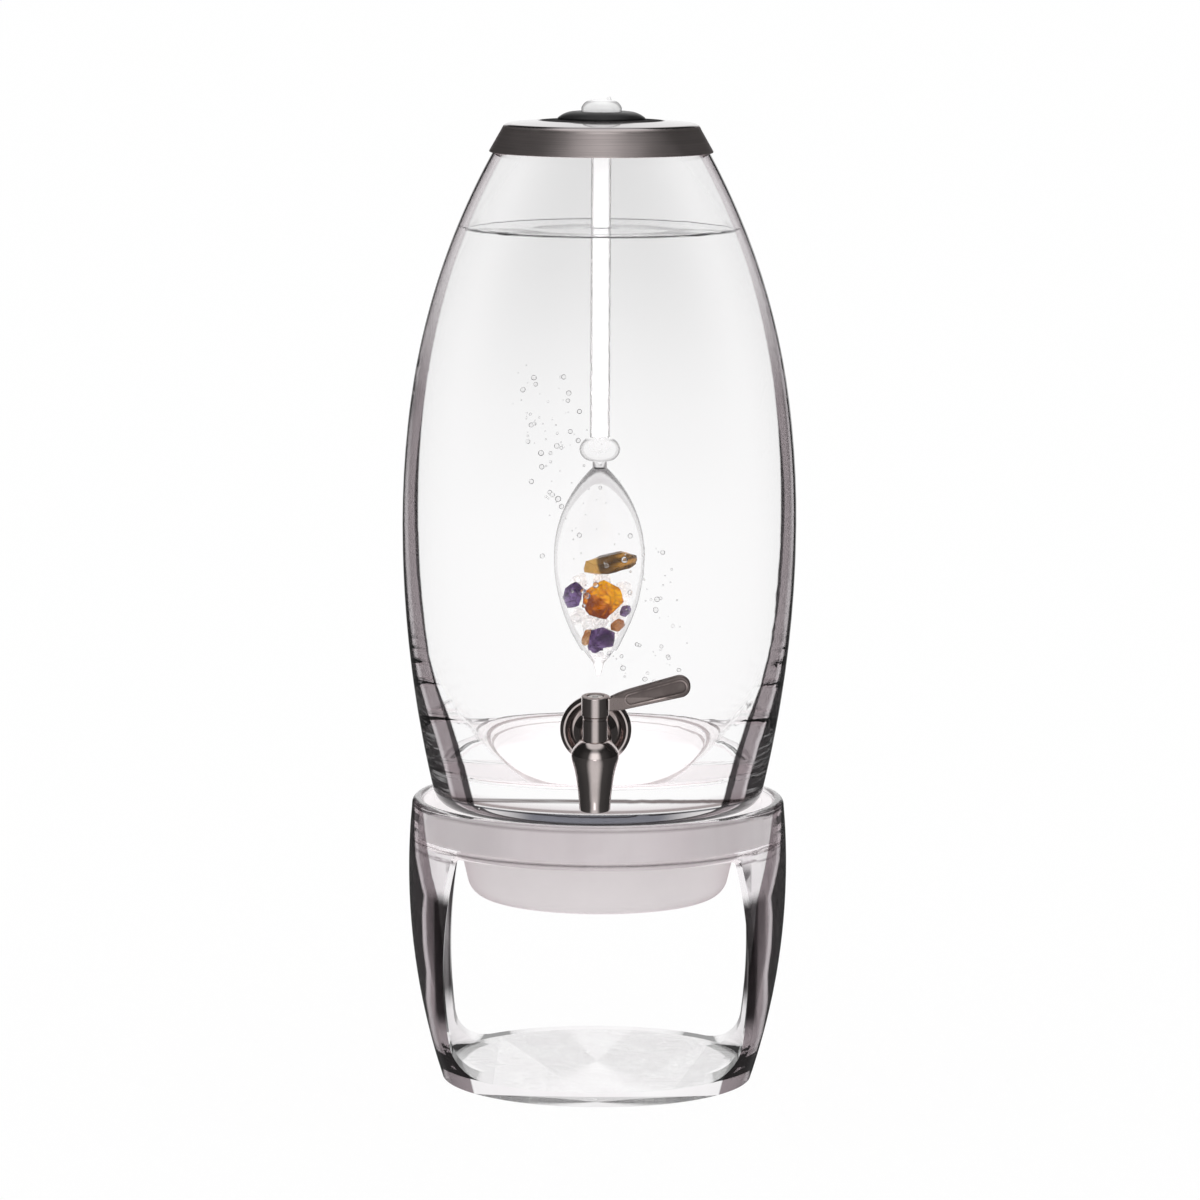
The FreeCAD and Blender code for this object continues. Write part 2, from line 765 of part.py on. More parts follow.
def make_stopper():
    """Rubber grommet: a disc above the lid, a waist in its hole, a foot below."""
    body = new_body("wand_stopper")
    bore = d.tube_radius + d.tube_fit
    sheet_bottom = crown_height - d.lid_sheet
    foot_bottom = sheet_bottom - d.stopper_foot_thickness
    sheet_slope = (sheet_bottom - lid_land) / (lid_land_radius - lid_hole_radius)
    foot_top = sheet_bottom - sheet_slope * (d.stopper_foot_radius - lid_hole_radius)
    revolve(body, [
        (bore, foot_bottom),
        (d.stopper_foot_radius - d.stopper_edge * 2, foot_bottom),
        (d.stopper_foot_radius, foot_bottom + d.stopper_edge * 2),
        (d.stopper_foot_radius, foot_top),
        (lid_hole_radius, sheet_bottom),
        (d.stopper_waist_radius, sheet_bottom),
        (d.stopper_waist_radius, crown_height),
        (d.stopper_radius, crown_height),
        (d.stopper_radius, crown_height + d.stopper_edge, left_bend(d.stopper_crown_curve)),
        (d.stopper_crest_radius, stopper_top),
        (bore, stopper_top),
    ], name="grommet")
    return body


def vial_radius_at(drop, inset=0):
    """Radius of the lower half of the vial at a distance below its widest ring."""
    return below_arc(d.vial_radius - inset, vial_lower_curve - inset, drop)


def make_wand():
    """Blown glass: a solid knob, a hollow tube, a solid bead and a sealed vial."""
    body = new_body("wand_glass")
    bore = d.tube_radius - d.tube_wall
    bore_top = stopper_top - d.tube_wall
    bead_middle = bead_top - d.bead_height / 2
    bead_curve = d.bead_height * 0.55
    inner_upper = vial_upper_curve - d.vial_wall
    inner_lower = vial_lower_curve - d.vial_wall
    cavity_radius = d.vial_radius - d.vial_wall
    cavity_top = vial_widest_height + d.vial_upper_length - d.vial_wall
    cavity_bottom = vial_tip_start + d.vial_wall * 2
    cavity_top_radius = below_arc(cavity_radius, inner_upper, cavity_top - vial_widest_height)
    cavity_bottom_radius = vial_radius_at(vial_widest_height - cavity_bottom, d.vial_wall)
    tip_end = vial_tip_start - d.vial_tip_length
    dome_radius = d.knob_radius * 0.62
    dome_height = stopper_top + d.knob_height
    dome_curve = (dome_radius * dome_radius / d.knob_crown_rise + d.knob_crown_rise) / 2
    revolve(body, [
        (0, tip_end),
        (d.vial_tip_radius, tip_end + d.vial_tip_radius),
        (d.vial_foot_radius, vial_tip_start, left_bend(vial_lower_curve)),
        (d.vial_radius, vial_widest_height, left_bend(vial_upper_curve)),
        (d.neck_radius, neck_bottom),
        (d.neck_radius, bead_bottom, left_bend(bead_curve)),
        (d.bead_radius, bead_middle, left_bend(bead_curve)),
        (d.tube_radius, bead_top),
        (d.tube_radius, stopper_top),
        (d.knob_radius, stopper_top),
        (d.knob_radius, stopper_top + d.knob_height / 3, left_bend(d.knob_height)),
        (dome_radius, dome_height, left_bend(dome_curve)),
        (0, dome_height + d.knob_crown_rise),
    ], name="blown")
    revolve(body, [
        (0, bead_middle - d.tube_wall),
        (bore, bead_middle),
        (bore, bore_top - d.tube_wall),
        (0, bore_top),
    ], kind="Groove", name="tube_bore")
    revolve(body, [
        (0, cavity_bottom - 1),
        (cavity_bottom_radius, cavity_bottom, left_bend(inner_lower)),
        (cavity_radius, vial_widest_height, left_bend(inner_upper)),
        (cavity_top_radius, cavity_top),
        (0, cavity_top + 1),
    ], kind="Groove", name="vial_hollow")
    peak = new_sketch(body, "peak_circle", "XY_Plane", stopper_top + d.knob_height - d.tube_wall)
    draw_circle(peak, d.knob_peak_radius, d.knob_peak_offset, 0.0)
    peak_pad = pad(body, peak, d.knob_peak_height, name="peak")
    peak_pad.TaperAngle = -14.0
    return body


# Stones in the vial

def facet_directions(seed):
    """Even directions over a ball, turned a little differently for each stone."""
    golden = math.pi * (3 - math.sqrt(5))
    for number in range(STONE_FACETS):
        up = 1 - 2 * (number + 0.5) / STONE_FACETS
        ring = math.sqrt(1 - up * up)
        angle = golden * number + 1.7 * seed
        yield number, Vector(ring * math.cos(angle), ring * math.sin(angle), up)


def stone_planes(half, seed):
    """A block's six sides, and planes that trim it to nearly touch its ellipsoid."""
    for number, side in enumerate(half):
        for sign in (1, -1):
            direction = Vector(0, 0, 0)
            direction[number] = sign
            yield direction, side
    for number, direction in facet_directions(seed):
        support = math.sqrt(sum((h * n) ** 2 for h, n in zip(half, direction)))
        yield direction, support * (STONE_TRIM + 0.05 * math.sin(3.1 * number + seed))


def cut_stone(middle, half, tilt, seed):
    """A rough tumbled stone in its place, narrowed and shortened as the vial is."""
    across = d.vial_radius.value / 100
    upwards = d.vial_lower_length.value / STONE_VIAL_DEPTH
    turn = Rotation(Vector(0, 1, 0), -tilt)
    centre = Vector(middle[0] * across, middle[1] * across,
                    vial_widest_height.value - middle[2] * upwards)
    reach = max(half) * max(across, upwards) * 4
    stone = Part.makeBox(reach, reach, reach, centre - Vector(1, 1, 1) * (reach / 2))
    for direction, distance in stone_planes(half, seed):
        normal = turn.multVec(direction)
        normal = Vector(normal.x / across, normal.y / across, normal.z / upwards)
        outside = Part.makeBox(reach, reach, reach, Vector(-reach / 2, -reach / 2, 0))
        foot = centre + normal * (distance / normal.Length ** 2)
        outside.Placement = Placement(foot, Rotation(Vector(0, 0, 1), normal))
        stone = stone.cut(outside)
    return stone


def make_stones(label, seed):
    """One node of stones of a kind, each a solid of its own."""
    solids = [
        cut_stone(middle, half, tilt, seed + number)
        for number, (middle, half, tilt) in enumerate(STONES[label])
    ]
    feature = doc.addObject("Part::Feature", label)
    feature.Label = label
    feature.Shape = solids[0] if len(solids) == 1 else Part.makeCompound(solids)
    return feature


# Tap

def make_tap_body():
    """Cast tap: shank, collar, valve boss and a horn spout with its waterways."""
    body = on_tap_axis(new_body("tap_body"))
    revolve(body, [
        (0, 0),
        (d.collar_waist_radius, 0),
        (d.collar_waist_radius, d.collar_waist_depth, right_bend(d.collar_curve)),
        (d.collar_radius, d.collar_depth - d.collar_width),
        (d.collar_radius, d.collar_depth),
        (d.shank_radius + d.shank_fit, d.collar_depth),
        (d.shank_radius + d.shank_fit, plate_back - d.shank_fit),
        (d.shank_radius, plate_back - d.shank_fit),
        (d.shank_radius, shank_length),
        (0, shank_length),
    ], plane="XY_Plane", name="shank")

    loft_rings(body, "AdditiveLoft", "horn", as_size(0), d.spout_length, (
        d.spout_top_radius,
        d.spout_shoulder_radius,
        d.spout_cheek_radius,
        d.spout_waist_radius,
        d.spout_middle_radius,
        d.spout_lower_radius,
        d.spout_mouth_radius,
        d.spout_tip_radius,
    ))
    cylinder_pad(body, d.boss_radius, as_size(0), d.boss_rise, name="boss")
    cylinder_pad(body, d.chamber_radius, -d.chamber_depth, d.boss_rise, kind="Pocket", name="chamber")
    cylinder_pad(body, d.bonnet_spigot_radius, d.chamber_rise, d.boss_rise, kind="Pocket",
                 name="bonnet_seat")
    loft_rings(body, "SubtractiveLoft", "outlet", d.chamber_depth - 0.5, d.spout_length + 0.5, (
        d.waterway_radius,
        d.outlet_middle_radius,
        d.outlet_tip_radius,
    ))
    revolve(body, [
        (0, d.chamber_radius / 2),
        (d.waterway_radius, d.chamber_radius / 2),
        (d.waterway_radius, shank_length + 1),
        (0, shank_length + 1),
    ], plane="XY_Plane", kind="Groove", name="inlet")
    return body


def loft_rings(body, kind, name, top, bottom, radii):
    """A loft through evenly spaced level circles on a line that curves forwards."""
    sketches = []
    for number, radius in enumerate(radii):
        drop = top + (bottom - top) * number / (len(radii) - 1)
        share = drop / d.spout_length
        sketch = new_sketch(body, f"{name}_ring_{number}", "XY_Plane", -drop)
        draw_circle(sketch, radius, 0.0, -d.spout_sweep * share * share)
        sketches.append(sketch)
    loft = body.newObject(f"PartDesign::{kind}", name)
    loft.Profile = (sketches[0], [""])
    loft.Sections = [(sketch, [""]) for sketch in sketches[1:]]
    return loft


def make_tap_flange():
    """Dished round plate that the collar clamps against the gasket."""
    body = on_tap_axis(new_body("tap_flange"))
    seat = d.collar_depth
    front = plate_back - d.flange_plate_thickness
    bore = d.shank_radius + d.shank_fit * 2
    rim = d.flange_plate_radius - d.flange_plate_bevel
    revolve(body, [
        (bore, seat),
        (d.collar_radius + 0.6, seat, right_bend(d.flange_dish_curve)),
        (rim - d.flange_plate_bevel / 2, front),
        (rim, front),
        (d.flange_plate_radius, front + d.flange_plate_bevel),
        (d.flange_plate_radius, plate_back),
        (bore, plate_back),
    ], plane="XY_Plane", name="plate")
    return body


def ring_blank(label, inner, outer, near, far):
    """A plain ring about the shank between two depths."""
    body = on_tap_axis(new_body(label))
    revolve(body, [(inner, near), (outer, near), (outer, far), (inner, far)],
            plane="XY_Plane", name="ring")
    return body


def make_clamp_parts(vessel_blank):
    """Gaskets shaped to the glass, with the washer and nut inside the vessel."""
    bore = d.shank_radius + d.shank_fit
    outer_blank = ring_blank("outer_gasket_blank", bore, d.outer_gasket_radius,
                             plate_back, plate_back + d.outer_gasket_reach)
    inner_blank = ring_blank("inner_gasket_blank", bore, d.inner_gasket_radius,
                             grip_depth - d.inner_gasket_reach, grip_depth)
    washer_far = grip_depth + d.washer_thickness
    ring_blank("shank_washer", bore, d.washer_radius, grip_depth, washer_far)

    nut = on_tap_axis(new_body("shank_nut"))
    sketch = new_sketch(nut, "hexagon", "XZ_Plane", -washer_far)
    corner = d.nut_width / math.sqrt(3)
    half = d.nut_width / 2
    draw_outline(sketch, [
        (corner, 0),
        (corner / 2, half),
        (-corner / 2, half),
        (-corner, 0),
        (-corner / 2, -half),
        (corner / 2, -half),
    ])
    draw_circle(sketch, d.shank_radius + d.valve_fit, tag="thread")
    pad(nut, sketch, d.nut_thickness, backwards=True, name="hex")
    cut("outer_gasket", outer_blank, vessel_blank)
    cut("inner_gasket", inner_blank, vessel_blank)


def make_bonnet_nut():
    """Round cap that screws into the boss and guides the stem."""
    body = on_tap_axis(new_body("bonnet_nut"))
    bore = d.stem_radius + d.valve_fit
    lip_bottom = d.bonnet_rise - d.bonnet_lip
    groove_bottom = lip_bottom - d.bonnet_groove_width
    groove_radius = d.boss_radius - d.bonnet_groove_depth
    revolve(body, [
        (bore, d.chamber_rise),
        (d.bonnet_spigot_radius, d.chamber_rise),
        (d.bonnet_spigot_radius, d.boss_rise),
        (d.boss_radius, d.boss_rise),
        (d.boss_radius, groove_bottom),
        (groove_radius, groove_bottom),
        (groove_radius, lip_bottom),
        (d.boss_radius, lip_bottom),
        (d.boss_radius, d.bonnet_rise - d.bonnet_lip / 3),
        (d.boss_radius - d.bonnet_lip / 3, d.bonnet_rise),
        (bore, d.bonnet_rise),
    ], name="bonnet")
    cylinder_pad(body, d.pin_radius, d.boss_rise, d.bonnet_rise, 0.0, d.pin_orbit,
                 kind="Pocket", name="pin_hole")
    return body


def make_stop_pin():
    """Pin in the bonnet that stops the lever at both ends of its swing."""
    body = on_tap_axis(new_body("stop_pin"))
    cylinder_pad(body, d.pin_radius, d.boss_rise, d.bonnet_rise + d.pin_stand_out,
                 0.0, d.pin_orbit, name="pin")
    return body


def make_valve_plug():
    """Plug with an elbow waterway, seal grooves and a stem with a square end."""
    body = on_tap_axis(new_body("valve_plug"))
    outer = d.chamber_radius - d.valve_fit
    foot = -(d.chamber_depth - d.valve_fit * 2)
    head = d.chamber_rise - d.stem_washer_thickness
    groove = outer - d.ring_section * 2 - d.valve_fit
    half = d.ring_section + d.valve_fit
    square_top = hub_top - d.hub_web
    revolve(body, [
        (0, foot),
        (outer, foot),
        (outer, -(d.ring_height + half)),
        (groove, -(d.ring_height + half)),
        (groove, -(d.ring_height - half)),
        (outer, -(d.ring_height - half)),
        (outer, d.ring_height - half),
        (groove, d.ring_height - half),
        (groove, d.ring_height + half),
        (outer, d.ring_height + half),
        (outer, head),
        (d.stem_radius, head),
        (d.stem_radius, hub_bottom),
        (0, hub_bottom),
    ], name="plug")
    sketch = new_sketch(body, "square_end", "XY_Plane", hub_bottom)
    draw_square(sketch, d.stem_square)
    pad(body, sketch, square_top - hub_bottom, name="square")
    screw_end = hub_top - d.screw_head_inset - d.screw_head_thickness - d.screw_length
    cylinder_pad(body, d.screw_radius + d.valve_fit, screw_end, square_top, kind="Pocket",
                 name="tapped_hole")
    cylinder_pad(body, d.plug_port_radius, foot, as_size(0), kind="Pocket", name="down_port")
    side = new_sketch(body, "side_circle", "YZ_Plane")
    draw_circle(side, d.plug_port_radius)
    pad(body, side, outer * 2, "Pocket", name="side_port")
    return body


def draw_square(sketch, width):
    half = width / 2
    draw_outline(sketch, [(half, -half), (half, half), (-half, half), (-half, -half)])


def make_plug_rings():
    """Two seal rings in the grooves of the plug, above and below its port."""
    orbit = d.chamber_radius - d.valve_fit - d.ring_section
    rings = []
    for number, height in enumerate((d.ring_height, -d.ring_height), start=1):
        ring = doc.addObject("Part::Torus", f"seal_ring_{number}")
        ring.Radius1 = orbit.value
        ring.Radius2 = d.ring_section.value
        bind(ring, "Radius1", orbit)
        bind(ring, "Radius2", d.ring_section)
        ring.Placement.Base = Vector(0, 0, height.value)
        bind(ring, "Placement.Base.z", height)
        rings.append(ring)
    group = doc.addObject("Part::Compound", "plug_seal_rings")
    group.Label = "plug_seal_rings"
    group.Links = rings
    return on_tap_axis(group)


def make_stem_washer():
    """Slippery washer between the head of the plug and the bonnet."""
    body = on_tap_axis(new_body("stem_washer"))
    head = d.chamber_rise - d.stem_washer_thickness
    revolve(body, [
        (d.stem_radius + d.valve_fit, head),
        (d.chamber_radius - d.valve_fit, head),
        (d.chamber_radius - d.valve_fit, d.chamber_rise),
        (d.stem_radius + d.valve_fit, d.chamber_rise),
    ], name="ring")
    return body


def make_lever():
    """Hub with a square hole and stop slot, and a blade on edge that rises outwards."""
    body = on_tap_axis(new_body("lever"))
    revolve(body, [
        (0, hub_bottom),
        (d.hub_radius, hub_bottom),
        (d.hub_radius, hub_top - d.hub_round, left_bend(d.hub_round)),
        (d.hub_radius - d.hub_round, hub_top),
        (0, hub_top),
    ], name="hub")

    blade = new_sketch(body, "blade_outline", "XZ_Plane")
    tip = (d.blade_reach, hub_bottom + d.blade_tip_rise)
    low = (d.blade_low_turn, hub_bottom + d.blade_low_rise)
    high = (d.blade_high_turn, hub_bottom + d.blade_high_rise)
    root_x = d.hub_radius / 2
    draw_outline(blade, [
        (root_x, hub_bottom + d.blade_root_low),
        low,
        (*tangent_point(low, tip, d.blade_tip_radius, 1), left_bend(d.blade_tip_radius)),
        tangent_point(high, tip, d.blade_tip_radius, -1),
        (high[0], high[1], left_bend(d.blade_reach * 1.6)),
        (root_x, hub_bottom + d.blade_root_high),
    ])
    arm = pad(body, blade, d.blade_thickness, both_ways=True, name="blade")

    def at_outline(edge):
        box = edge.BoundBox
        on_face = box.YLength < 0.01 and abs(abs(box.YMin) - d.blade_thickness.value / 2) < 0.01
        return on_face and box.XMax > d.hub_radius.value + 2
    round_edges(body, arm, d.blade_edge_round, at_outline, name="blade_round")

    start = (d.panel_start, tip[1] - d.panel_start_drop)
    bead_thickness = d.blade_thickness + d.panel_bead_height * 2
    beads = new_sketch(body, "bead_outline", "XZ_Plane")
    draw_outline(beads, slot_between(start, d.panel_start_radius + d.panel_bead_width,
                                     tip, d.panel_tip_radius + d.panel_bead_width))
    pad(body, beads, bead_thickness, both_ways=True, name="panel_beads")
    for name, offset, backwards in (
            ("front_panel", bead_thickness / 2, False),
            ("back_panel", -bead_thickness / 2, True)):
        panel = new_sketch(body, f"{name}_outline", "XZ_Plane", offset)
        draw_outline(panel, slot_between(start, d.panel_start_radius, tip, d.panel_tip_radius))
        pad(body, panel, d.panel_bead_height + d.panel_depth, "Pocket",
            backwards=backwards, name=name)

    square = new_sketch(body, "square_hole", "XY_Plane", hub_bottom)
    draw_square(square, d.stem_square + d.square_fit * 2)
    pad(body, square, d.hub_height - d.hub_web, "Pocket", backwards=True, name="drive")
    head_floor = hub_top - d.screw_head_inset - d.screw_head_thickness
    cylinder_pad(body, d.screw_head_radius + d.valve_fit, head_floor, hub_top, kind="Pocket",
                 name="screw_recess")
    cylinder_pad(body, d.screw_radius + d.pin_gap, hub_bottom, hub_top, kind="Pocket",
                 name="screw_hole")
    cut_stop_slot(body)
    return body


def slot_between(near, near_radius, far, far_radius):
    """Outline round two circles and their outer tangents, the far one to the right."""
    run = far[0] - near[0]
    rise = far[1] - near[1]
    span = root(run * run + rise * rise)
    along = (run / span, rise / span)
    growth = (far_radius - near_radius) / span
    spread = root(1 - growth * growth)

    def rim(centre, radius, forwards, sideways):
        return (centre[0] + radius * (along[0] * forwards - along[1] * sideways),
                centre[1] + radius * (along[1] * forwards + along[0] * sideways))
    return [
        rim(near, near_radius, -growth, -spread),
        (*rim(far, far_radius, -growth, -spread), left_bend(far_radius)),
        (*rim(far, far_radius, 1, 0), left_bend(far_radius)),
        rim(far, far_radius, -growth, spread),
        (*rim(near, near_radius, -growth, spread), left_bend(near_radius)),
        (*rim(near, near_radius, -1, 0), left_bend(near_radius)),
    ]


def tangent_point(start, centre, radius, side):
    """Where a line from start touches a circle, on its lower (1) or upper (-1) side."""
    across = as_size(centre[0]) - start[0]
    rise = as_size(centre[1]) - start[1]
    span = across * across + rise * rise
    reach = root(span - radius * radius)
    normal_x = (rise * reach * side + across * radius * -1) / span
    normal_y = (across * reach * side * -1 + rise * radius * -1) / span
    return (centre[0] + radius * normal_x, centre[1] + radius * normal_y)


def cut_stop_slot(body):
    """Curved slot under the hub, one swing long, in which the stop pin stands."""
    sketch = new_sketch(body, "stop_slot_outline", "XY_Plane", hub_bottom)
    half = d.pin_radius + d.pin_gap
    outer = d.pin_orbit + half
    inner = d.pin_orbit - half
    turn = d.valve_swing
    draw_outline(sketch, [
        (0.0, outer, left_bend(outer)),
        (-outer * sine(turn), outer * cosine(turn), left_bend(half)),
        (-inner * sine(turn), inner * cosine(turn), right_bend(inner)),
        (0.0, inner, left_bend(half)),
    ])
    depth = d.pin_stand_out + d.pin_gap
    return pad(body, sketch, depth, "Pocket", backwards=True, name="stop_slot")


def make_lever_screw():
    """Round-headed screw with a socket that holds the lever on the stem."""
    body = on_tap_axis(new_body("lever_screw"))
    head_top = hub_top - d.screw_head_inset
    head_floor = head_top - d.screw_head_thickness
    revolve(body, [
        (0, head_floor - d.screw_length),
        (d.screw_radius, head_floor - d.screw_length),
        (d.screw_radius, head_floor),
        (d.screw_head_radius, head_floor),
        (d.screw_head_radius, head_top - d.screw_head_inset),
        (d.screw_head_radius - d.screw_head_inset, head_top),
        (d.screw_socket_radius, head_top),
        (d.screw_socket_radius, head_top - d.screw_head_thickness / 2),
        (0, head_top - d.screw_head_thickness / 2),
    ], name="screw")
    return body


# Build, check and write

def check(objects):
    for item in doc.Objects:
        if "Invalid" in item.State or "Error" in item.State:
            raise RuntimeError(f"{item.Label}: {item.State}")
    for item in objects:
        if item.Shape.isNull() or not item.Shape.isValid():
            raise RuntimeError(f"{item.Label}: bad shape")


def main():
    make_stand()
    make_support_bowl()
    vessel_blank, _ = make_vessel()
    make_lid_shell()
    make_lid_seal()
    make_stopper()
    make_wand()
    for seed, label in enumerate(STONES):
        make_stones(label, 5 * seed)
    make_tap_body()
    make_tap_flange()
    make_clamp_parts(vessel_blank)
    make_bonnet_nut()
    make_stop_pin()
    make_valve_plug()
    make_plug_rings()
    make_stem_washer()
    make_lever()
    make_lever_screw()
    doc.recompute()
    nodes = [doc.getObjectsByLabel(label)[0] for label in NODES]
    check(nodes)
    os.makedirs("parts", exist_ok=True)
    for node in nodes:
        node.Shape.exportStep(f"parts/{node.Label}.step")
        print(f"{node.Label}: {len(node.Shape.Solids)} solid, {node.Shape.Volume / 1000:.2f} cm3")


NODES = (
    "stand",
    "support_bowl",
    "vessel",
    "lid_shell",
    "lid_seal",
    "wand_stopper",
    "wand_glass",
    *STONES,
    "tap_body",
    "tap_flange",
    "outer_gasket",
    "inner_gasket",
    "shank_washer",
    "shank_nut",
    "bonnet_nut",
    "stop_pin",
    "valve_plug",
    "plug_seal_rings",
    "stem_washer",
    "lever",
    "lever_screw",
)

main()
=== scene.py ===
"""Looks of a glass drink dispenser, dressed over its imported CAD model.

Metres, +Z up, the tap towards -Y. The clear vessel, stand and wand, the frosted
bowl, the steel lid and the tap keep their CAD solids and get their finishes here.
The stones are modelled again with worn surfaces. The line of the water and the air
bubbles round the wand are added.
"""
import math

import bmesh
import bpy
from bpy.props import FloatProperty, FloatVectorProperty, IntProperty, PointerProperty
from mathutils import Matrix, Vector, noise


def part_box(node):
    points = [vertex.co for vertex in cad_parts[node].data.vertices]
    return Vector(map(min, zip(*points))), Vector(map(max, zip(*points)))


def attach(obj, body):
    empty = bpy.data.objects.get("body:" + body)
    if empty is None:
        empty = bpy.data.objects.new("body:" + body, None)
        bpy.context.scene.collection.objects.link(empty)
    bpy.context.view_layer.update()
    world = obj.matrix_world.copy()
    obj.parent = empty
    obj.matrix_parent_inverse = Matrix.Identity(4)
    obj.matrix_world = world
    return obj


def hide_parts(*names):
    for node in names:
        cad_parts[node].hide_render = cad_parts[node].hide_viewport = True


bl_info = {
    "name": "Glass Drink Dispenser",
    "version": (1, 0, 0),
    "blender": (4, 5, 0),
    "location": "3D View > Sidebar > Dispenser",
    "description": "Finishes, stones, water line and stage of a glass drink dispenser",
    "category": "Object",
}

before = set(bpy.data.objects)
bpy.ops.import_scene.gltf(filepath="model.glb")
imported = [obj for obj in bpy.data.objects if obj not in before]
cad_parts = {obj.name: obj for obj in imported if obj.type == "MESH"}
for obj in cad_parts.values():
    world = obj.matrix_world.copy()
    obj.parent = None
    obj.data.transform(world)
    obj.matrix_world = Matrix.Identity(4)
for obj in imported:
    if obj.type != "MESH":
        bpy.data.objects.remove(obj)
MM = 0.001


# Settings

def colour(name, description, default):
    return FloatVectorProperty(
        name=name, description=description, subtype="COLOR", size=3, min=0.0, max=1.0,
        default=default)


def length(name, description, default):
    return FloatProperty(
        name=name, description=description, default=default, min=0.0, unit="LENGTH",
        precision=5)


def share(name, description, default):
    return FloatProperty(
        name=name, description=description, default=default, min=0.0, max=1.0,
        subtype="FACTOR")


def count(name, description, default):
    return IntProperty(name=name, description=description, default=default, min=0)


class GlassSettings(bpy.types.PropertyGroup):
    clear: colour("Clear", "Tint of the glass seen face on", (0.992, 0.990, 0.991))
    # Light edge, Band, Pale band and Dark edge are painted shade: laid where the glass turns away,
    # in place of the dark room seen through its edges.
    light: colour("Light edge", "Tint of the bright line inside the outline", (0.36, 0.31, 0.33))
    band: colour("Band", "Tint of the wall seen edge on", (0.105, 0.080, 0.088))
    pale: colour("Pale band", "Tint of that band near the mouth", (0.60, 0.55, 0.57))
    dark: colour("Dark edge", "Tint of the outline", (0.0016, 0.0013, 0.0014))
    frosted: colour("Frosted", "Colour of the frosted bowl", (0.76, 0.735, 0.74))


class MetalSettings(bpy.types.PropertyGroup):
    skirt: colour("Lid skirt", "Colour of the brushed skirt of the lid", (0.76, 0.675, 0.665))
    crown: colour("Lid crown", "Colour of the polished crown of the lid", (0.50, 0.47, 0.475))
    tap: colour("Tap", "Colour of the polished tap", (0.63, 0.56, 0.545))
    lever: colour("Lever", "Colour of the satin lever", (0.26, 0.218, 0.210))
    rubber: colour("Stopper", "Colour of the rubber stopper", (0.012, 0.012, 0.013))


class StoneSettings(bpy.types.PropertyGroup):
    tiger_tan: colour("Tiger eye, tan", "Pale side of the slab", (0.72, 0.42, 0.11))
    tiger_dark: colour("Tiger eye, dark", "Dark bands of the slab", (0.055, 0.024, 0.003))
    tiger_gold: colour("Tiger eye, gold", "Golden bands of the slab", (0.62, 0.30, 0.05))
    citrine: colour("Citrine", "Body of the amber crystal", (0.66, 0.17, 0.002))
    amethyst: colour("Amethyst", "Body of the purple crystals", (0.080, 0.032, 0.130))
    jasper: colour("Jasper", "Body of the red-brown slivers", (0.50, 0.22, 0.07))
    quartz: colour("Quartz", "Body of the clear chips", (0.95, 0.92, 0.90))


class WaterSettings(bpy.types.PropertyGroup):
    level: length("Level", "Height of the water line above the table", 0.4990)
    film: length("Film", "Thickness of the water line at the wall", 0.0018)
    bubbles: count("Bubbles", "Air bubbles round the wand", 150)
    bubble_size: length("Bubble size", "Radius of the largest bubble", 0.0019)


class StageSettings(bpy.types.PropertyGroup):
    light: FloatProperty(name="Light", description="Strength of the surrounding light", default=1.0)
    floor: colour("Floor", "Colour of the floor", (0.98, 0.98, 0.98))
    glow: share("Floor glow", "How far the floor shows as the white background", 0.86)
    bounces: count("Bounces", "Light bounces that the thick glass needs", 40)


# Node trees

def dimmed(shade, factor):
    return tuple(factor * channel for channel in shade)


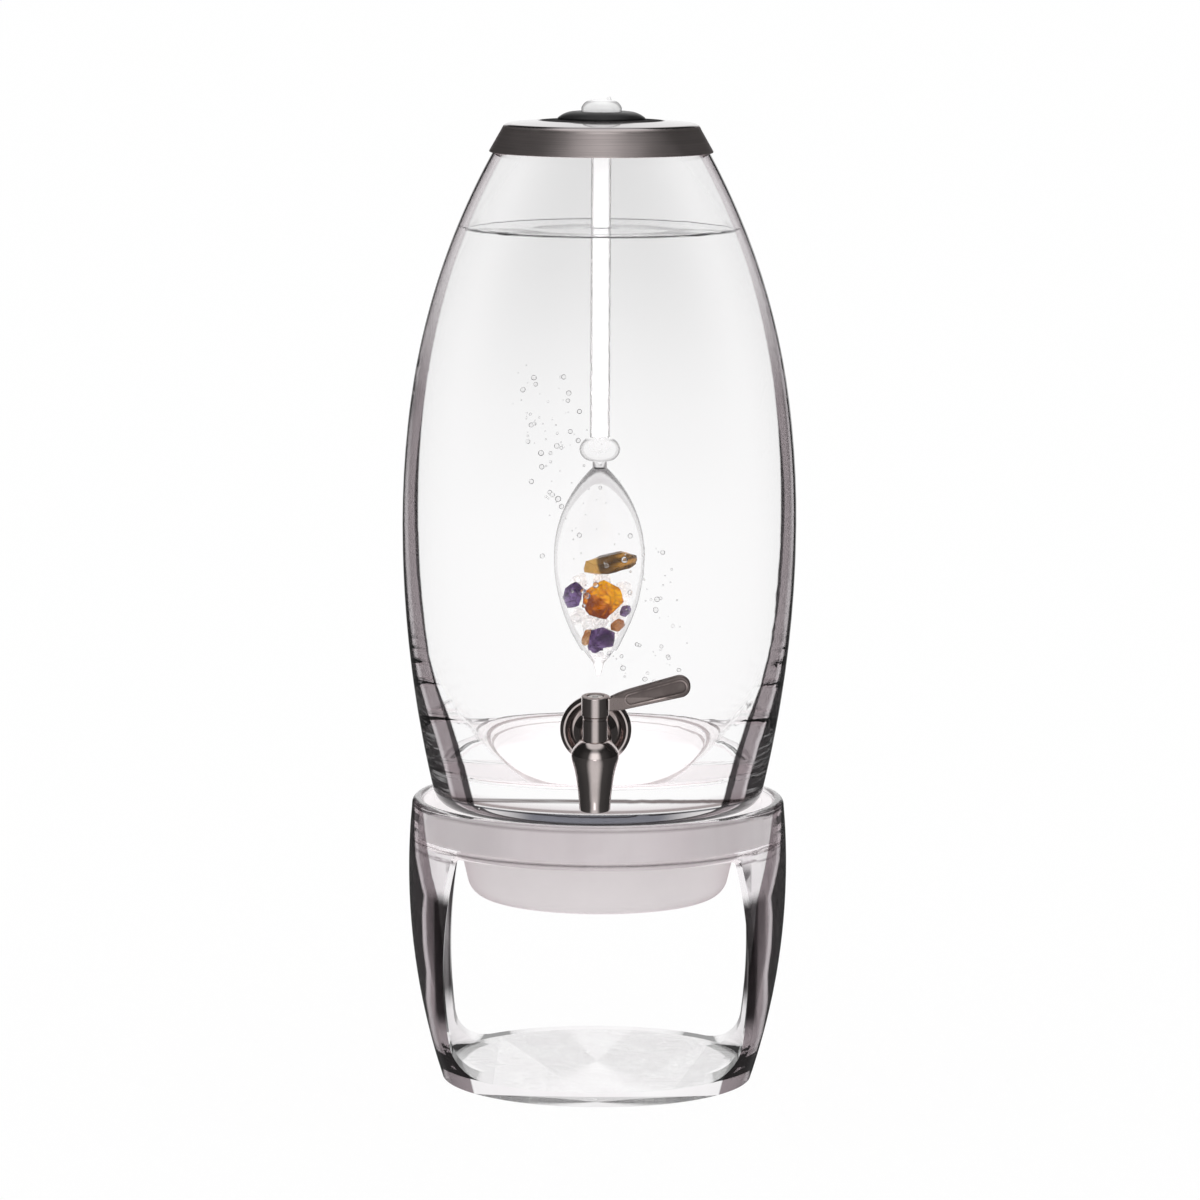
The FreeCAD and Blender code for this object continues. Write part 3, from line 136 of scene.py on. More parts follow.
class Tree:
    """Adds nodes to a node tree and links their inputs."""

    def __init__(self, tree):
        self.tree = tree

    def add(self, kind, inputs=None, **settings):
        node = self.tree.nodes.new(kind)
        for name, value in settings.items():
            setattr(node, name, value)
        for name, value in (inputs or {}).items():
            self.put(node.inputs[name], value)
        return node

    def put(self, socket, value):
        if isinstance(value, bpy.types.NodeSocket):
            self.tree.links.new(value, socket)
        elif socket.type == "RGBA":
            socket.default_value = (*value, 1.0)
        else:
            socket.default_value = value

    def math(self, operation, *values, clamp=False):
        node = self.add("ShaderNodeMath", operation=operation, use_clamp=clamp)
        for socket, value in zip(node.inputs, values):
            self.put(socket, value)
        return node.outputs[0]

    def times(self, first, *others):
        for other in others:
            first = self.math("MULTIPLY", first, other)
        return first

    def plus(self, first, second):
        return self.math("ADD", first, second)

    def minus(self, first, second):
        return self.math("SUBTRACT", first, second)

    def larger(self, first, second):
        return self.math("MAXIMUM", first, second)

    def size(self, value):
        return self.math("ABSOLUTE", value)

    def hypotenuse(self, first, second):
        squares = [self.math("POWER", side, 2.0) for side in (first, second)]
        return self.math("SQRT", self.plus(*squares))

    def between(self, value, low, high, out_low=0.0, out_high=1.0, smooth=True):
        return self.add("ShaderNodeMapRange", {
            "Value": value, "From Min": low, "From Max": high,
            "To Min": out_low, "To Max": out_high},
            interpolation_type="SMOOTHSTEP" if smooth else "LINEAR").outputs["Result"]

    def near(self, value, middle, off, on, most=1.0):
        """How near a value is to the middle: most within on of it, nothing from off outwards."""
        return self.between(self.size(self.minus(value, middle)), off, on, 0.0, most)

    def ramp(self, value, stops):
        """A colour ramp from (place, shade) stops; a plain number is a grey."""
        node = self.add("ShaderNodeValToRGB", {"Fac": value})
        elements = node.color_ramp.elements
        while len(elements) < len(stops):
            elements.new(0.5)
        for element, (place, shade) in zip(elements, stops):
            element.position = place
            element.color = (*(shade if isinstance(shade, tuple) else (shade,) * 3), 1.0)
        return node.outputs["Color"]

    def mix(self, factor, first, second, blend="MIX"):
        return self.add("ShaderNodeMix", {0: factor, 6: first, 7: second},
                        data_type="RGBA", blend_type=blend).outputs[2]

    def tinted(self, first, second):
        return self.mix(1.0, first, second, blend="MULTIPLY")

    def mix_number(self, factor, first, second):
        return self.add("ShaderNodeMix", {0: factor, 2: first, 3: second},
                        data_type="FLOAT").outputs[0]

    def mix_shader(self, factor, first, second):
        return self.add("ShaderNodeMixShader", {0: factor, 1: first, 2: second}).outputs["Shader"]

    def noise(self, vector, scale, detail=4.0, rough=0.55, distortion=0.0):
        return self.add("ShaderNodeTexNoise", {
            "Vector": vector, "Scale": scale, "Detail": detail, "Roughness": rough,
            "Distortion": distortion}).outputs["Fac"]

    def where(self):
        return self.add("ShaderNodeTexCoord").outputs["Object"]

    def place(self, turn=(0, 0, 0), scale=(1, 1, 1)):
        """Object coordinates, turned and stretched."""
        return self.add("ShaderNodeMapping", {
            "Vector": self.where(), "Rotation": turn, "Scale": scale}).outputs["Vector"]

    def parts(self, vector):
        return tuple(self.add("ShaderNodeSeparateXYZ", {"Vector": vector}).outputs)

    def combine(self, x, y, z=0.0):
        return self.add("ShaderNodeCombineXYZ", {"X": x, "Y": y, "Z": z}).outputs["Vector"]

    def from_point(self, vector, point):
        return self.add("ShaderNodeVectorMath", {0: vector, 1: point},
                        operation="SUBTRACT").outputs[0]

    def dot(self, first, second):
        return self.add("ShaderNodeVectorMath", {0: first, 1: second},
                        operation="DOT_PRODUCT").outputs["Value"]

    def turned_away(self):
        """0 where the surface faces the viewer, 1 at its outline."""
        return self.add("ShaderNodeLayerWeight", {"Blend": 0.5}).outputs["Facing"]

    def faces_out(self, x, y):
        """How much the surface faces away from the Z axis, times its reach from it."""
        normal = self.add("ShaderNodeNewGeometry").outputs["Normal"]
        return self.dot(normal, self.combine(x, y))

    def rays(self):
        return self.add("ShaderNodeLightPath").outputs

    def bump(self, height, strength, distance):
        return self.add("ShaderNodeBump", {
            "Height": height, "Strength": strength, "Distance": distance}).outputs["Normal"]

    def principled(self, **inputs):
        """A principled surface; the words of an input's name are joined by underscores."""
        return self.add("ShaderNodeBsdfPrincipled", {
            name.replace("_", " "): value for name, value in inputs.items()}).outputs["BSDF"]

    def lit_through(self, surface, amount, tint=(1.0, 1.0, 1.0)):
        """Lets an amount of the light and shade of the studio pass straight through."""
        rays = self.rays()
        straight = self.times(self.larger(rays["Is Shadow Ray"], rays["Is Diffuse Ray"]), amount)
        passed = self.add("ShaderNodeBsdfTransparent", {"Color": tint}).outputs["BSDF"]
        return self.mix_shader(straight, surface, passed)


class Material(Tree):
    """The node tree of a new material."""

    def __init__(self, name):
        self.material = bpy.data.materials.new(name)
        self.material.use_nodes = True
        super().__init__(self.material.node_tree)
        self.tree.nodes.clear()

    def finish(self, surface):
        self.add("ShaderNodeOutputMaterial", {"Surface": surface})
        return self.material


def dress(node_name, material):
    """Give a carried-over CAD node its finish."""
    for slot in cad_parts[node_name].material_slots:
        slot.material = material


# Glass

# Height, then in millimetres the widths of the painted dark outline, of the painted dark line at
# the inner side of the wall, and of the whole painted band from outline to inner side.
VESSEL_WIDTHS = (
    (0.162, 8.5, 3.2, 19.0), (0.192, 8.6, 3.4, 19.4), (0.206, 7.6, 3.0, 18.6),
    (0.221, 5.6, 2.6, 17.0), (0.240, 3.2, 1.4, 13.0), (0.257, 2.3, 1.0, 10.8),
    (0.304, 1.7, 1.7, 9.6), (0.351, 1.1, 2.0, 8.8), (0.398, 0.5, 0.4, 7.9),
    (0.445, 0.9, 0.0, 6.8), (0.480, 1.1, 0.0, 5.8), (0.554, 1.7, 0.0, 5.2))
STAND_WIDTHS = (
    (0.0, 0.6, 0.0, 12.0), (0.030, 0.8, 0.0, 14.0), (0.050, 2.0, 0.0, 15.0),
    (0.068, 5.0, 0.0, 15.0), (0.085, 5.4, 0.0, 15.5), (0.103, 6.6, 0.0, 16.0),
    (0.115, 8.2, 0.0, 16.0), (0.135, 4.0, 0.0, 12.0), (0.167, 1.5, 0.0, 6.0))
WAND_WIDTHS = (
    (0.233, 0.1, 0.0, 0.4), (0.246, 0.2, 0.0, 0.9), (0.262, 0.6, 0.0, 2.8),
    (0.308, 0.5, 0.0, 1.8), (0.335, 0.9, 0.0, 3.0), (0.350, 1.5, 0.0, 5.0),
    (0.359, 2.4, 0.0, 7.0), (0.364, 0.7, 0.0, 1.6), (0.370, 0.8, 0.0, 2.4),
    (0.376, 0.8, 0.0, 1.2), (0.385, 0.8, 0.0, 1.5), (0.560, 0.8, 0.0, 1.5),
    (0.566, 0.15, 0.0, 1.2), (0.576, 0.1, 0.0, 1.2))
WIDEST = 30.0

# Lighter streaks painted into the dark outline towards the heel, and the heights over which the
# painted band turns pale.
PAINTED_STREAK = (0.100, 0.096, 0.098)
BANDS_PALE_FROM = (0.40, 0.51)

# Painted shade at the heel, from the underside of the vessel up: black edges, a slate lens between
# them, a brown line and clear glass above it, in place of the dark room seen through the thick
# heel. The painted lens turns light at its sides.
HEEL_SPAN = (0.162, 0.182)
HEEL_BLACK = (0.004, 0.004, 0.005)
HEEL_SLATE = (0.030, 0.031, 0.042)
HEEL_PAINTED_SHADES = (
    (0.0, HEEL_BLACK), (0.16, HEEL_BLACK), (0.22, HEEL_SLATE), (0.40, HEEL_SLATE),
    (0.46, HEEL_BLACK), (0.49, (0.80, 0.77, 0.78)), (0.52, (0.12, 0.09, 0.09)),
    (0.58, (0.16, 0.125, 0.125)), (0.62, (0.62, 0.56, 0.57)), (0.72, (0.80, 0.76, 0.77)))
LENS_LOW, LENS_HIGH = (0.1658, 0.1664), (0.1708, 0.1700)
LENS_ASIDE = (0.035, 0.070)
LENS_LIGHT = (0.62, 0.58, 0.59)
# A dark line painted round the heel and a grey ring painted low on the floor of the vessel: painted
# shade that draws the edges seen through the thick heel.
HEEL_LINE_HEIGHT, HEEL_LINE_REACH = 0.1728, (0.085, 0.090)
HEEL_LINE = (0.05, 0.037, 0.037)
FLOOR_RING_REACH, FLOOR_RING_BELOW = 0.0700, (0.1925, 0.1915)
FLOOR_RING = (0.27, 0.225, 0.225)

# Painted greys in place of the room seen through the vessel, darker towards the mouth.
PAINTED_ROOM_SPAN = (0.28, 0.554)
PAINTED_ROOM = ((0.0, 0.985), (0.13, 0.97), (0.26, 0.91), (0.38, 0.86), (0.51, 0.77), (0.60, 0.70),
        (0.69, 0.64), (0.80, 0.60), (0.93, 0.56), (1.0, 0.55))

# The stand: half the width of its windows, the heights between which their cut edges are painted
# dark, and the painted dark lines of the ledge and of the rim of its ring; painted shade in place
# of the dark room seen through the thick glass.
WINDOW_HALF = 0.0885
EDGE_FROM, EDGE_UP_TO = (0.030, 0.046), (0.122, 0.112)
LEDGE_SPAN = (0.132, 0.168)
LEDGE_PAINTED_LINES = (
    (0.0, 1.0), (0.15, 1.0), (0.19, (0.22, 0.19, 0.20)), (0.23, 1.0), (0.30, 1.0),
    (0.335, (0.07, 0.06, 0.062)), (0.37, 1.0), (0.84, 1.0), (0.88, (0.40, 0.37, 0.38)),
    (0.92, 1.0), (0.955, (0.30, 0.28, 0.285)), (1.0, 1.0))

# The wand: heights where the painted outline of its tip ends, where its tip and tube turn milky
# with a painted glow, and where its knob starts, with a weaker painted glow.
TIP_OUTLINE, TIP_MILK = (0.2435, 0.2475), (0.2475, 0.2450)
# The painted grey edge of the tip, and the tones of the painted outline of the wand.
TIP_EDGE = (0.42, 0.40, 0.39)
TUBE_MILK = (0.3775, 0.3785)
KNOB_OUTLINE, KNOB_GLOW = (0.562, 0.566), (0.560, 0.568)
WAND_TONES = {"light": (0.66, 0.65, 0.655), "band": (0.60, 0.58, 0.59),
              "dark": (0.10, 0.095, 0.097), "inner": (0.3, 0.3, 0.3)}

# Height from which the flange of the bowl gets its painted shade.
FLANGE_SHADE_FROM = (0.143, 0.147)


class RoundGlass(Material):
    """An upright round piece of glass: its coordinates, its reach from the axis, how far it
    has turned away from the viewer, how far that is from the outline in millimetres, and how
    much it faces outward or inward where a ray enters the glass."""

    def __init__(self, name):
        super().__init__(name)
        self.at = self.where()
        self.x, self.y, self.z = self.parts(self.at)
        self.reach = self.hypotenuse(self.x, self.y)
        self.turned = self.turned_away()
        sine = self.math("SQRT", self.times(self.turned, self.minus(2.0, self.turned)))
        self.inset = self.times(self.minus(1.0, sine), self.times(self.reach, 1000.0))
        steep = self.math("DIVIDE", self.faces_out(self.x, self.y), self.reach)
        entering = self.minus(1.0, self.add("ShaderNodeNewGeometry").outputs["Backfacing"])
        self.outward = self.times(self.between(steep, 0.35, 0.60), entering)
        self.inward = self.times(self.between(steep, -0.10, -0.35), entering)

    def widths_here(self, widths):
        """The three widths of a table at this height, read from one colour ramp."""
        low, high = widths[0][0], widths[-1][0]
        rise = self.between(self.z, low, high, smooth=False)
        stops = [((row[0] - low) / (high - low), tuple(width / WIDEST for width in row[1:]))
                 for row in widths]
        channels = self.add("ShaderNodeSeparateColor", {"Color": self.ramp(rise, stops)}).outputs
        return [self.times(channel, WIDEST) for channel in channels]

    def painted_outline(self, widths, tones, pale_from=None):
        """Painted shade of glass seen edge on, in place of the dark room seen through its edges: a
        dark outline, a light line, the wall's band, a dark inner line.
        """
        outline, inner, whole = self.widths_here(widths)
        band = tones["band"]
        if pale_from is not None:
            band = self.mix(self.between(self.z, *pale_from), band, tones["pale"])
        lit = self.between(self.inset, self.plus(outline, 0.8), self.plus(outline, 2.6))
        shade = self.mix(lit, tones["light"], band)
        begun = self.between(self.inset, self.minus(outline, 0.5), self.plus(outline, 0.6))
        shade = self.mix(begun, tones["dark"], shade)
        start = self.minus(whole, inner)
        last = self.between(self.inset, self.minus(start, 0.7), self.plus(start, 0.2))
        shade = self.mix(self.times(last, self.between(inner, 0.0, 1.0)), shade, tones["inner"])
        past = self.between(self.inset, self.minus(whole, 0.4), self.plus(whole, 0.5))
        return self.mix(past, shade, tones["clear"])

    def finish_clear(self, tint, smear_scale, wave_scale, stretch, waviness):
        """Clear glass with faint smears and slow waves; the tint given carries the painted shade of
        the glass.
        """
        smear = self.noise(self.at, smear_scale, detail=6.0)
        wave = self.noise(self.place(scale=(1, 1, stretch)), wave_scale, detail=2.0)
        surface = self.principled(
            IOR=1.5, Transmission_Weight=1.0, Specular_Tint=(0.22, 0.22, 0.22), Base_Color=tint,
            Roughness=self.between(smear, 0.5, 0.8, 0.0, 0.012),
            Normal=self.bump(wave, waviness, 0.002))
        return self.finish(self.lit_through(surface, 0.97, (0.985, 0.98, 0.982)))


def vessel_glass(name, tones):
    """Thick clear glass with painted shade: a grey band at its sides, darker and streaked towards
    the heel, painted lines at the heel, and painted greys of the room seen through it.
    """
    tree = RoundGlass(name)
    z = tree.z
    # Painted outline, darker and with lighter painted streaks towards the heel.
    streak = tree.noise(tree.place(scale=(26, 26, 420)), 1.0, rough=0.65, distortion=0.6)
    lively = tree.times(tree.between(streak, 0.5, 0.72), tree.between(z, 0.245, 0.205))
    dark = tree.mix(lively, tones["dark"], PAINTED_STREAK)
    shade = tree.painted_outline(VESSEL_WIDTHS, {**tones, "dark": dark}, BANDS_PALE_FROM)
    # Painted shade at the heel, its painted lens lighter at the sides.
    heel = tree.ramp(tree.between(z, *HEEL_SPAN, smooth=False), (
        *HEEL_PAINTED_SHADES, (0.85, tones["clear"]), (1.0, tones["clear"])))
    lens = tree.times(tree.between(z, *LENS_LOW), tree.between(z, *LENS_HIGH))
    aside = tree.between(tree.size(tree.x), *LENS_ASIDE)
    heel = tree.mix(tree.times(lens, aside), heel, LENS_LIGHT)
    shade = tree.tinted(shade, heel)
    # Painted greys of the room seen through the vessel, fading where the glass turns away.
    painted_room = tree.ramp(tree.between(z, *PAINTED_ROOM_SPAN, smooth=False), PAINTED_ROOM)
    painted_room = tree.mix(tree.between(tree.turned, 0.10, 0.45, 0.0, 0.6), painted_room, tones["clear"])
    painted_room = tree.mix(tree.inward, tones["clear"], painted_room)
    # A grey ring painted low on the floor of the vessel, as painted shade.
    ring = tree.times(tree.near(tree.reach, FLOOR_RING_REACH, 0.0018, 0.0009),
                      tree.between(z, *FLOOR_RING_BELOW))
    painted_room = tree.mix(ring, painted_room, FLOOR_RING)
    # A dark line painted round the heel, as painted shade.
    line = tree.times(tree.near(z, HEEL_LINE_HEIGHT, 0.0016, 0.0007),
                      tree.between(tree.reach, *HEEL_LINE_REACH))
    painted_room = tree.mix(tree.times(line, tree.between(streak, 0.30, 0.55, 0.7, 1.0)), painted_room, HEEL_LINE)
    return tree.finish_clear(tree.mix(tree.outward, painted_room, shade), 38.0, 16.0, 0.3, 0.03)


def stand_glass(name, tones):
    """Thick clear glass with painted shade: dark along its outline and along the cut edges of the
    windows, with grey streaks and dark lines at the ledge and the rim of its ring.
    """
    tree = RoundGlass(name)
    shade = tree.painted_outline(STAND_WIDTHS, tones)
    beside = tree.times(tree.minus(tree.size(tree.x), WINDOW_HALF), 1000.0)
    edge = tree.times(tree.between(beside, 6.4, 4.6), tree.between(tree.z, *EDGE_FROM),
                      tree.between(tree.z, *EDGE_UP_TO))
    # Painted grey streaks, and painted dark cut edges of the windows.
    streak = tree.noise(tree.place(scale=(30, 30, 8)), 1.0, rough=0.6)
    legs = tree.mix(tree.between(streak, 0.3, 0.7), (0.90, 0.87, 0.885), (0.97, 0.96, 0.965))
    cut = tree.mix(tree.between(streak, 0.45, 0.7), (0.03, 0.027, 0.028), (0.10, 0.09, 0.095))
    legs = tree.mix(edge, legs, cut)
    # Painted dark lines at the ledge and the rim of the ring, swerving more towards the sides.
    scribble = tree.noise(tree.place(scale=(30, 30, 320)), 1.0, 3.0, 0.6, distortion=0.8)
    aside = tree.between(tree.size(tree.x), 0.070, 0.106)
    swerve = tree.times(tree.minus(scribble, 0.5), tree.plus(0.0006, tree.times(aside, 0.010)))
    height = tree.plus(tree.z, swerve)
    ledge = tree.ramp(tree.between(height, *LEDGE_SPAN, smooth=False), LEDGE_PAINTED_LINES)
    shade = tree.tinted(tree.tinted(shade, legs), ledge)
    return tree.finish_clear(tree.mix(tree.outward, legs, shade), 42.0, 21.0, 0.4, 0.04)


def blown_glass(name, tones):
    """Thin blown glass of the wand: clear bead and vial, milky tube, knob and tip, with a painted
    outline and a painted glow on the milky parts.
    """
    tree = RoundGlass(name)
    z, turned = tree.z, tree.turned
    shade = tree.painted_outline(WAND_WIDTHS, tones)
    outward = tree.times(tree.outward, tree.between(z, *TIP_OUTLINE))
    shade = tree.mix(outward, tones["clear"], shade)
    smear = tree.noise(tree.at, 60.0, detail=5.0)
    # The milky parts, which also get a painted glow below.
    milky = tree.times(tree.between(z, *TUBE_MILK), tree.between(smear, 0.2, 0.8, 0.85, 0.70))
    on_knob = tree.between(z, *KNOB_OUTLINE)
    within = tree.larger(tree.between(turned, 0.50, 0.34),
                         tree.times(on_knob, tree.between(turned, 1.0, 0.85)))
    tip = tree.between(z, *TIP_MILK)
    # A painted grey edge round the milky tip.
    shade = tree.mix(tree.times(tip, tree.between(turned, 0.25, 0.75)), shade, TIP_EDGE)
    milky = tree.larger(tree.times(milky, within), tree.times(tip, 0.8))
    clear = tree.minus(1.0, milky)
    # Painted glow in the colour of the painted outline, weaker on the knob.
    surface = tree.principled(
        Base_Color=shade, Roughness=tree.between(smear, 0.5, 0.8, 0.0, 0.02), IOR=1.45,
        Specular_Tint=(0.25, 0.25, 0.25), Transmission_Weight=clear, Emission_Color=shade,
        Emission_Strength=tree.times(milky, tree.between(z, *KNOB_GLOW, 0.36, 0.12)))
    return tree.finish(tree.lit_through(surface, tree.times(clear, 0.95)))


def frosted_glass(name, base):
    """Acid-frosted glass: soft body and satin surface, with painted shade, pinker and darker where
    it turns away and darker on the flange, and a painted glow on its inside.
    """
    tree = Material(name)
    where = tree.place()
    x, y, z = tree.parts(where)
    cloud = tree.noise(where, 22.0, detail=5.0)
    grain = tree.noise(where, 2400.0, detail=2.0)
    turned = tree.turned_away()
    tone = tree.mix(tree.between(cloud, 0.3, 0.75), base, dimmed(base, 0.95))
    # Painted shade: pinker and darker where the surface turns away.
    tone = tree.mix(tree.between(turned, 0.40, 1.0, 0.0, 0.6), tone, (0.56, 0.49, 0.51))
    # Painted shade on the flange.
    flange = tree.times(tree.between(z, *FLANGE_SHADE_FROM), tree.between(turned, 0.02, 0.30))
    tone = tree.mix(flange, tone, dimmed(base, 0.80))
    # A painted glow on the inside of the bowl, and a faint one all over.
    inside = tree.between(tree.faces_out(x, y), 0.05, 0.0)
    satin = tree.principled(
        Base_Color=tone, Roughness=tree.between(cloud, 0.3, 0.7, 0.42, 0.55), IOR=1.48,
        Emission_Color=tree.mix(inside, tone, (1.0, 0.985, 0.99)),
        Emission_Strength=tree.plus(0.02, tree.times(inside, 0.7)),
        Normal=tree.bump(grain, 0.12, 0.0002))
    glow = tree.add("ShaderNodeBsdfTranslucent", {"Color": tone}).outputs["BSDF"]
    return tree.finish(tree.mix_shader(0.45, satin, glow))


# Metal, rubber and plastic

CROWN_THICKNESS = 3.2 * MM
# The dark ring painted on the crown round the stopper, in place of its dark reflection: its reach
# from the axis, and its colour.
CROWN_REFLECTION_REACH = (0.0375, 0.0345)
CROWN_DARK_REFLECTION = (0.016, 0.014, 0.015)

# The tap's tilted axis, and the middle line of the handle's sunk panel: across from the
# axis, and down from the top of the lever.
TAP_AXIS = Vector((0.0, -0.104528, 0.994522))
TAP_ORIGIN = Vector((0.0, -0.135, 0.2205))
PANEL_START, PANEL_END = (0.0200, 0.0136), (0.0476, 0.0062)
PANEL_HALF, PANEL_WIDENING = 0.0028, 0.0006
HUB_EDGE = (0.0076, 0.0084)
HUB_TOP = (0.0127, 0.0124)
# Painted brightness across the edge of the panel, from inside it outwards, as shares of the satin:
# a painted highlight on the bead between painted dark lines.
PANEL_SPAN = (-0.0012, 0.0026)
PANEL_PAINTED_LIGHT = ((0.0, 1.0), (0.18, 0.75), (0.30, 0.45), (0.36, 2.6), (0.50, 2.6), (0.58, 0.55),
               (0.72, 1.2), (1.0, 0.9))


def spun_steel(name, skirt, crown, crown_height):
    """Lid steel: a skirt brushed in rings, and a polished crown round a matt dark ring painted in
    place of the stopper's dark reflection.
    """
    tree = Material(name)
    where = tree.place()
    x, y, z = tree.parts(where)
    angle, reach = tree.math("ARCTAN2", y, x), tree.hypotenuse(x, y)
    rings = tree.combine(tree.times(angle, 0.9), tree.times(reach, 900.0), tree.times(z, 2600.0))
    brushed = tree.noise(rings, 1.0, detail=5.0, rough=0.7)
    spokes = tree.noise(tree.combine(tree.times(angle, 14.0), tree.times(reach, 60.0)), 1.0)
    cloud = tree.noise(where, 30.0)
    on_crown = tree.between(z, crown_height - 0.0012, crown_height + 0.0002)
    # The painted reflection: a matt dark ring on the crown round the stopper.
    ring = tree.times(tree.between(reach, *CROWN_REFLECTION_REACH), on_crown,
                      tree.between(spokes, 0.25, 0.6, 1.0, 0.96))
    shade = tree.mix(tree.between(brushed, 0.3, 0.7), skirt, dimmed(skirt, 0.8))
    shade = tree.mix(on_crown, shade, tree.mix(ring, crown, CROWN_DARK_REFLECTION))
    roughness = tree.mix_number(on_crown, tree.between(cloud, 0.3, 0.7, 0.34, 0.42),
                                tree.between(cloud, 0.3, 0.7, 0.05, 0.09))
    height = tree.times(brushed, tree.minus(1.0, on_crown))
    tangent = tree.add("ShaderNodeTangent", direction_type="RADIAL", axis="Z").outputs["Tangent"]
    return tree.finish(tree.principled(
        Base_Color=shade, Metallic=tree.minus(1.0, ring),
        Roughness=tree.larger(roughness, tree.times(ring, 0.75)), Specular_IOR_Level=0.05,
        Anisotropic=0.45, Tangent=tangent, Normal=tree.bump(height, 0.18, 0.00008)))


def polished_steel(name, base, roughness=0.09):
    """Polished cast steel with faint hairlines and a soft cloud of handling marks."""
    tree = Material(name)
    cloud = tree.noise(tree.place(), 70.0, detail=5.0)
    hair = tree.noise(tree.place(turn=(0.3, 0.5, 0.2), scale=(60, 2200, 2200)), 1.0, detail=3.0)
    rough = tree.plus(tree.between(cloud, 0.35, 0.8, roughness, roughness + 0.07),
                      tree.between(hair, 0.5, 0.9, 0.0, 0.05))
    return tree.finish(tree.principled(
        Base_Color=tree.mix(tree.between(cloud, 0.3, 0.75), base, dimmed(base, 0.86)),
        Metallic=1.0, Roughness=rough, Normal=tree.bump(hair, 0.05, 0.00005)))


def lever_steel(name, hub, satin):
    """Polished hub, satin handle, and a painted highlight on the bead round the sunk panel of the
    handle, between painted dark lines.
    """
    tree = Material(name)
    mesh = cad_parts["lever"].data
    top = max((vert.co - TAP_ORIGIN).dot(TAP_AXIS) for vert in mesh.vertices)
    where = tree.where()
    across = tree.parts(where)[0]
    rise = tree.dot(tree.from_point(where, TAP_ORIGIN), TAP_AXIS)
    start, end = (PANEL_START[0], top - PANEL_START[1]), (PANEL_END[0], top - PANEL_END[1])
    run = (end[0] - start[0], end[1] - start[1])
    right, above = tree.minus(across, start[0]), tree.minus(rise, start[1])
    along = tree.math("DIVIDE", tree.plus(tree.times(right, run[0]), tree.times(above, run[1])),
                      run[0] ** 2 + run[1] ** 2, clamp=True)
    off = tree.hypotenuse(tree.minus(right, tree.times(along, run[0])),
                          tree.minus(above, tree.times(along, run[1])))
    edge = tree.minus(off, tree.plus(PANEL_HALF, tree.times(along, PANEL_WIDENING)))
    handle = tree.between(across, *HUB_EDGE)
    cloud = tree.noise(where, 90.0, detail=5.0)
    # The painted highlight and shade across the edge of the panel.
    tone = tree.ramp(tree.between(edge, *PANEL_SPAN, smooth=False), [
        (place, dimmed(satin, factor)) for place, factor in PANEL_PAINTED_LIGHT])
    tone = tree.mix(tree.between(cloud, 0.3, 0.7), tone, dimmed(satin, 0.8))
    hub_top = tree.between(rise, top - HUB_TOP[0], top - HUB_TOP[1], 0.0, 0.5)
    return tree.finish(tree.principled(
        Base_Color=tree.mix(handle, hub, tone), Metallic=1.0,
        Roughness=tree.plus(tree.between(cloud, 0.3, 0.8, 0.10, 0.16),
                            tree.larger(tree.times(handle, 0.14), hub_top)),
        Normal=tree.bump(cloud, 0.05, 0.0001)))


def rubber(name, base, roughness):
    """Rubber, silicone or plastic with a little dust on it."""
    tree = Material(name)
    where = tree.place()
    dust = tree.noise(where, 420.0, detail=6.0, rough=0.7)
    cloud = tree.noise(where, 55.0)
    dusty = tuple(3.0 * c + 0.02 for c in base)
    return tree.finish(tree.principled(
        Base_Color=tree.mix(tree.between(dust, 0.55, 0.8, 0.0, 0.22), base, dusty),
        Roughness=tree.between(cloud, 0.3, 0.7, roughness, roughness + 0.14),
        Specular_IOR_Level=0.3, Normal=tree.bump(dust, 0.08, 0.0001)))


# Stones

# Node: material slot, then in millimetres bevel, longest edge and depth of wear, and its grain.
STONES = {
    "tiger_eye": ("tiger_eye", 0.5, 0.8, 0.20, 160.0),
    "citrine": ("citrine", 0.4, 0.7, 0.9, 130.0),
    "amethyst_stones": ("amethyst", 1.2, 0.9, 0.25, 90.0),
    "jasper_slivers": ("jasper", 0.5, 0.8, 0.3, 200.0),
    "quartz_chips": ("quartz", 0.35, 0.9, 0.3, 300.0),
}
MOST_SPLITS = 7


def solid_mesh(name, bm, smooth=False):
    bmesh.ops.recalc_face_normals(bm, faces=bm.faces)
    mesh = bpy.data.meshes.new(name)
    bm.to_mesh(mesh)
    bm.free()
    for face in mesh.polygons:
        face.use_smooth = smooth
    piece = bpy.data.objects.new(name, mesh)
    bpy.context.scene.collection.objects.link(piece)
    return piece


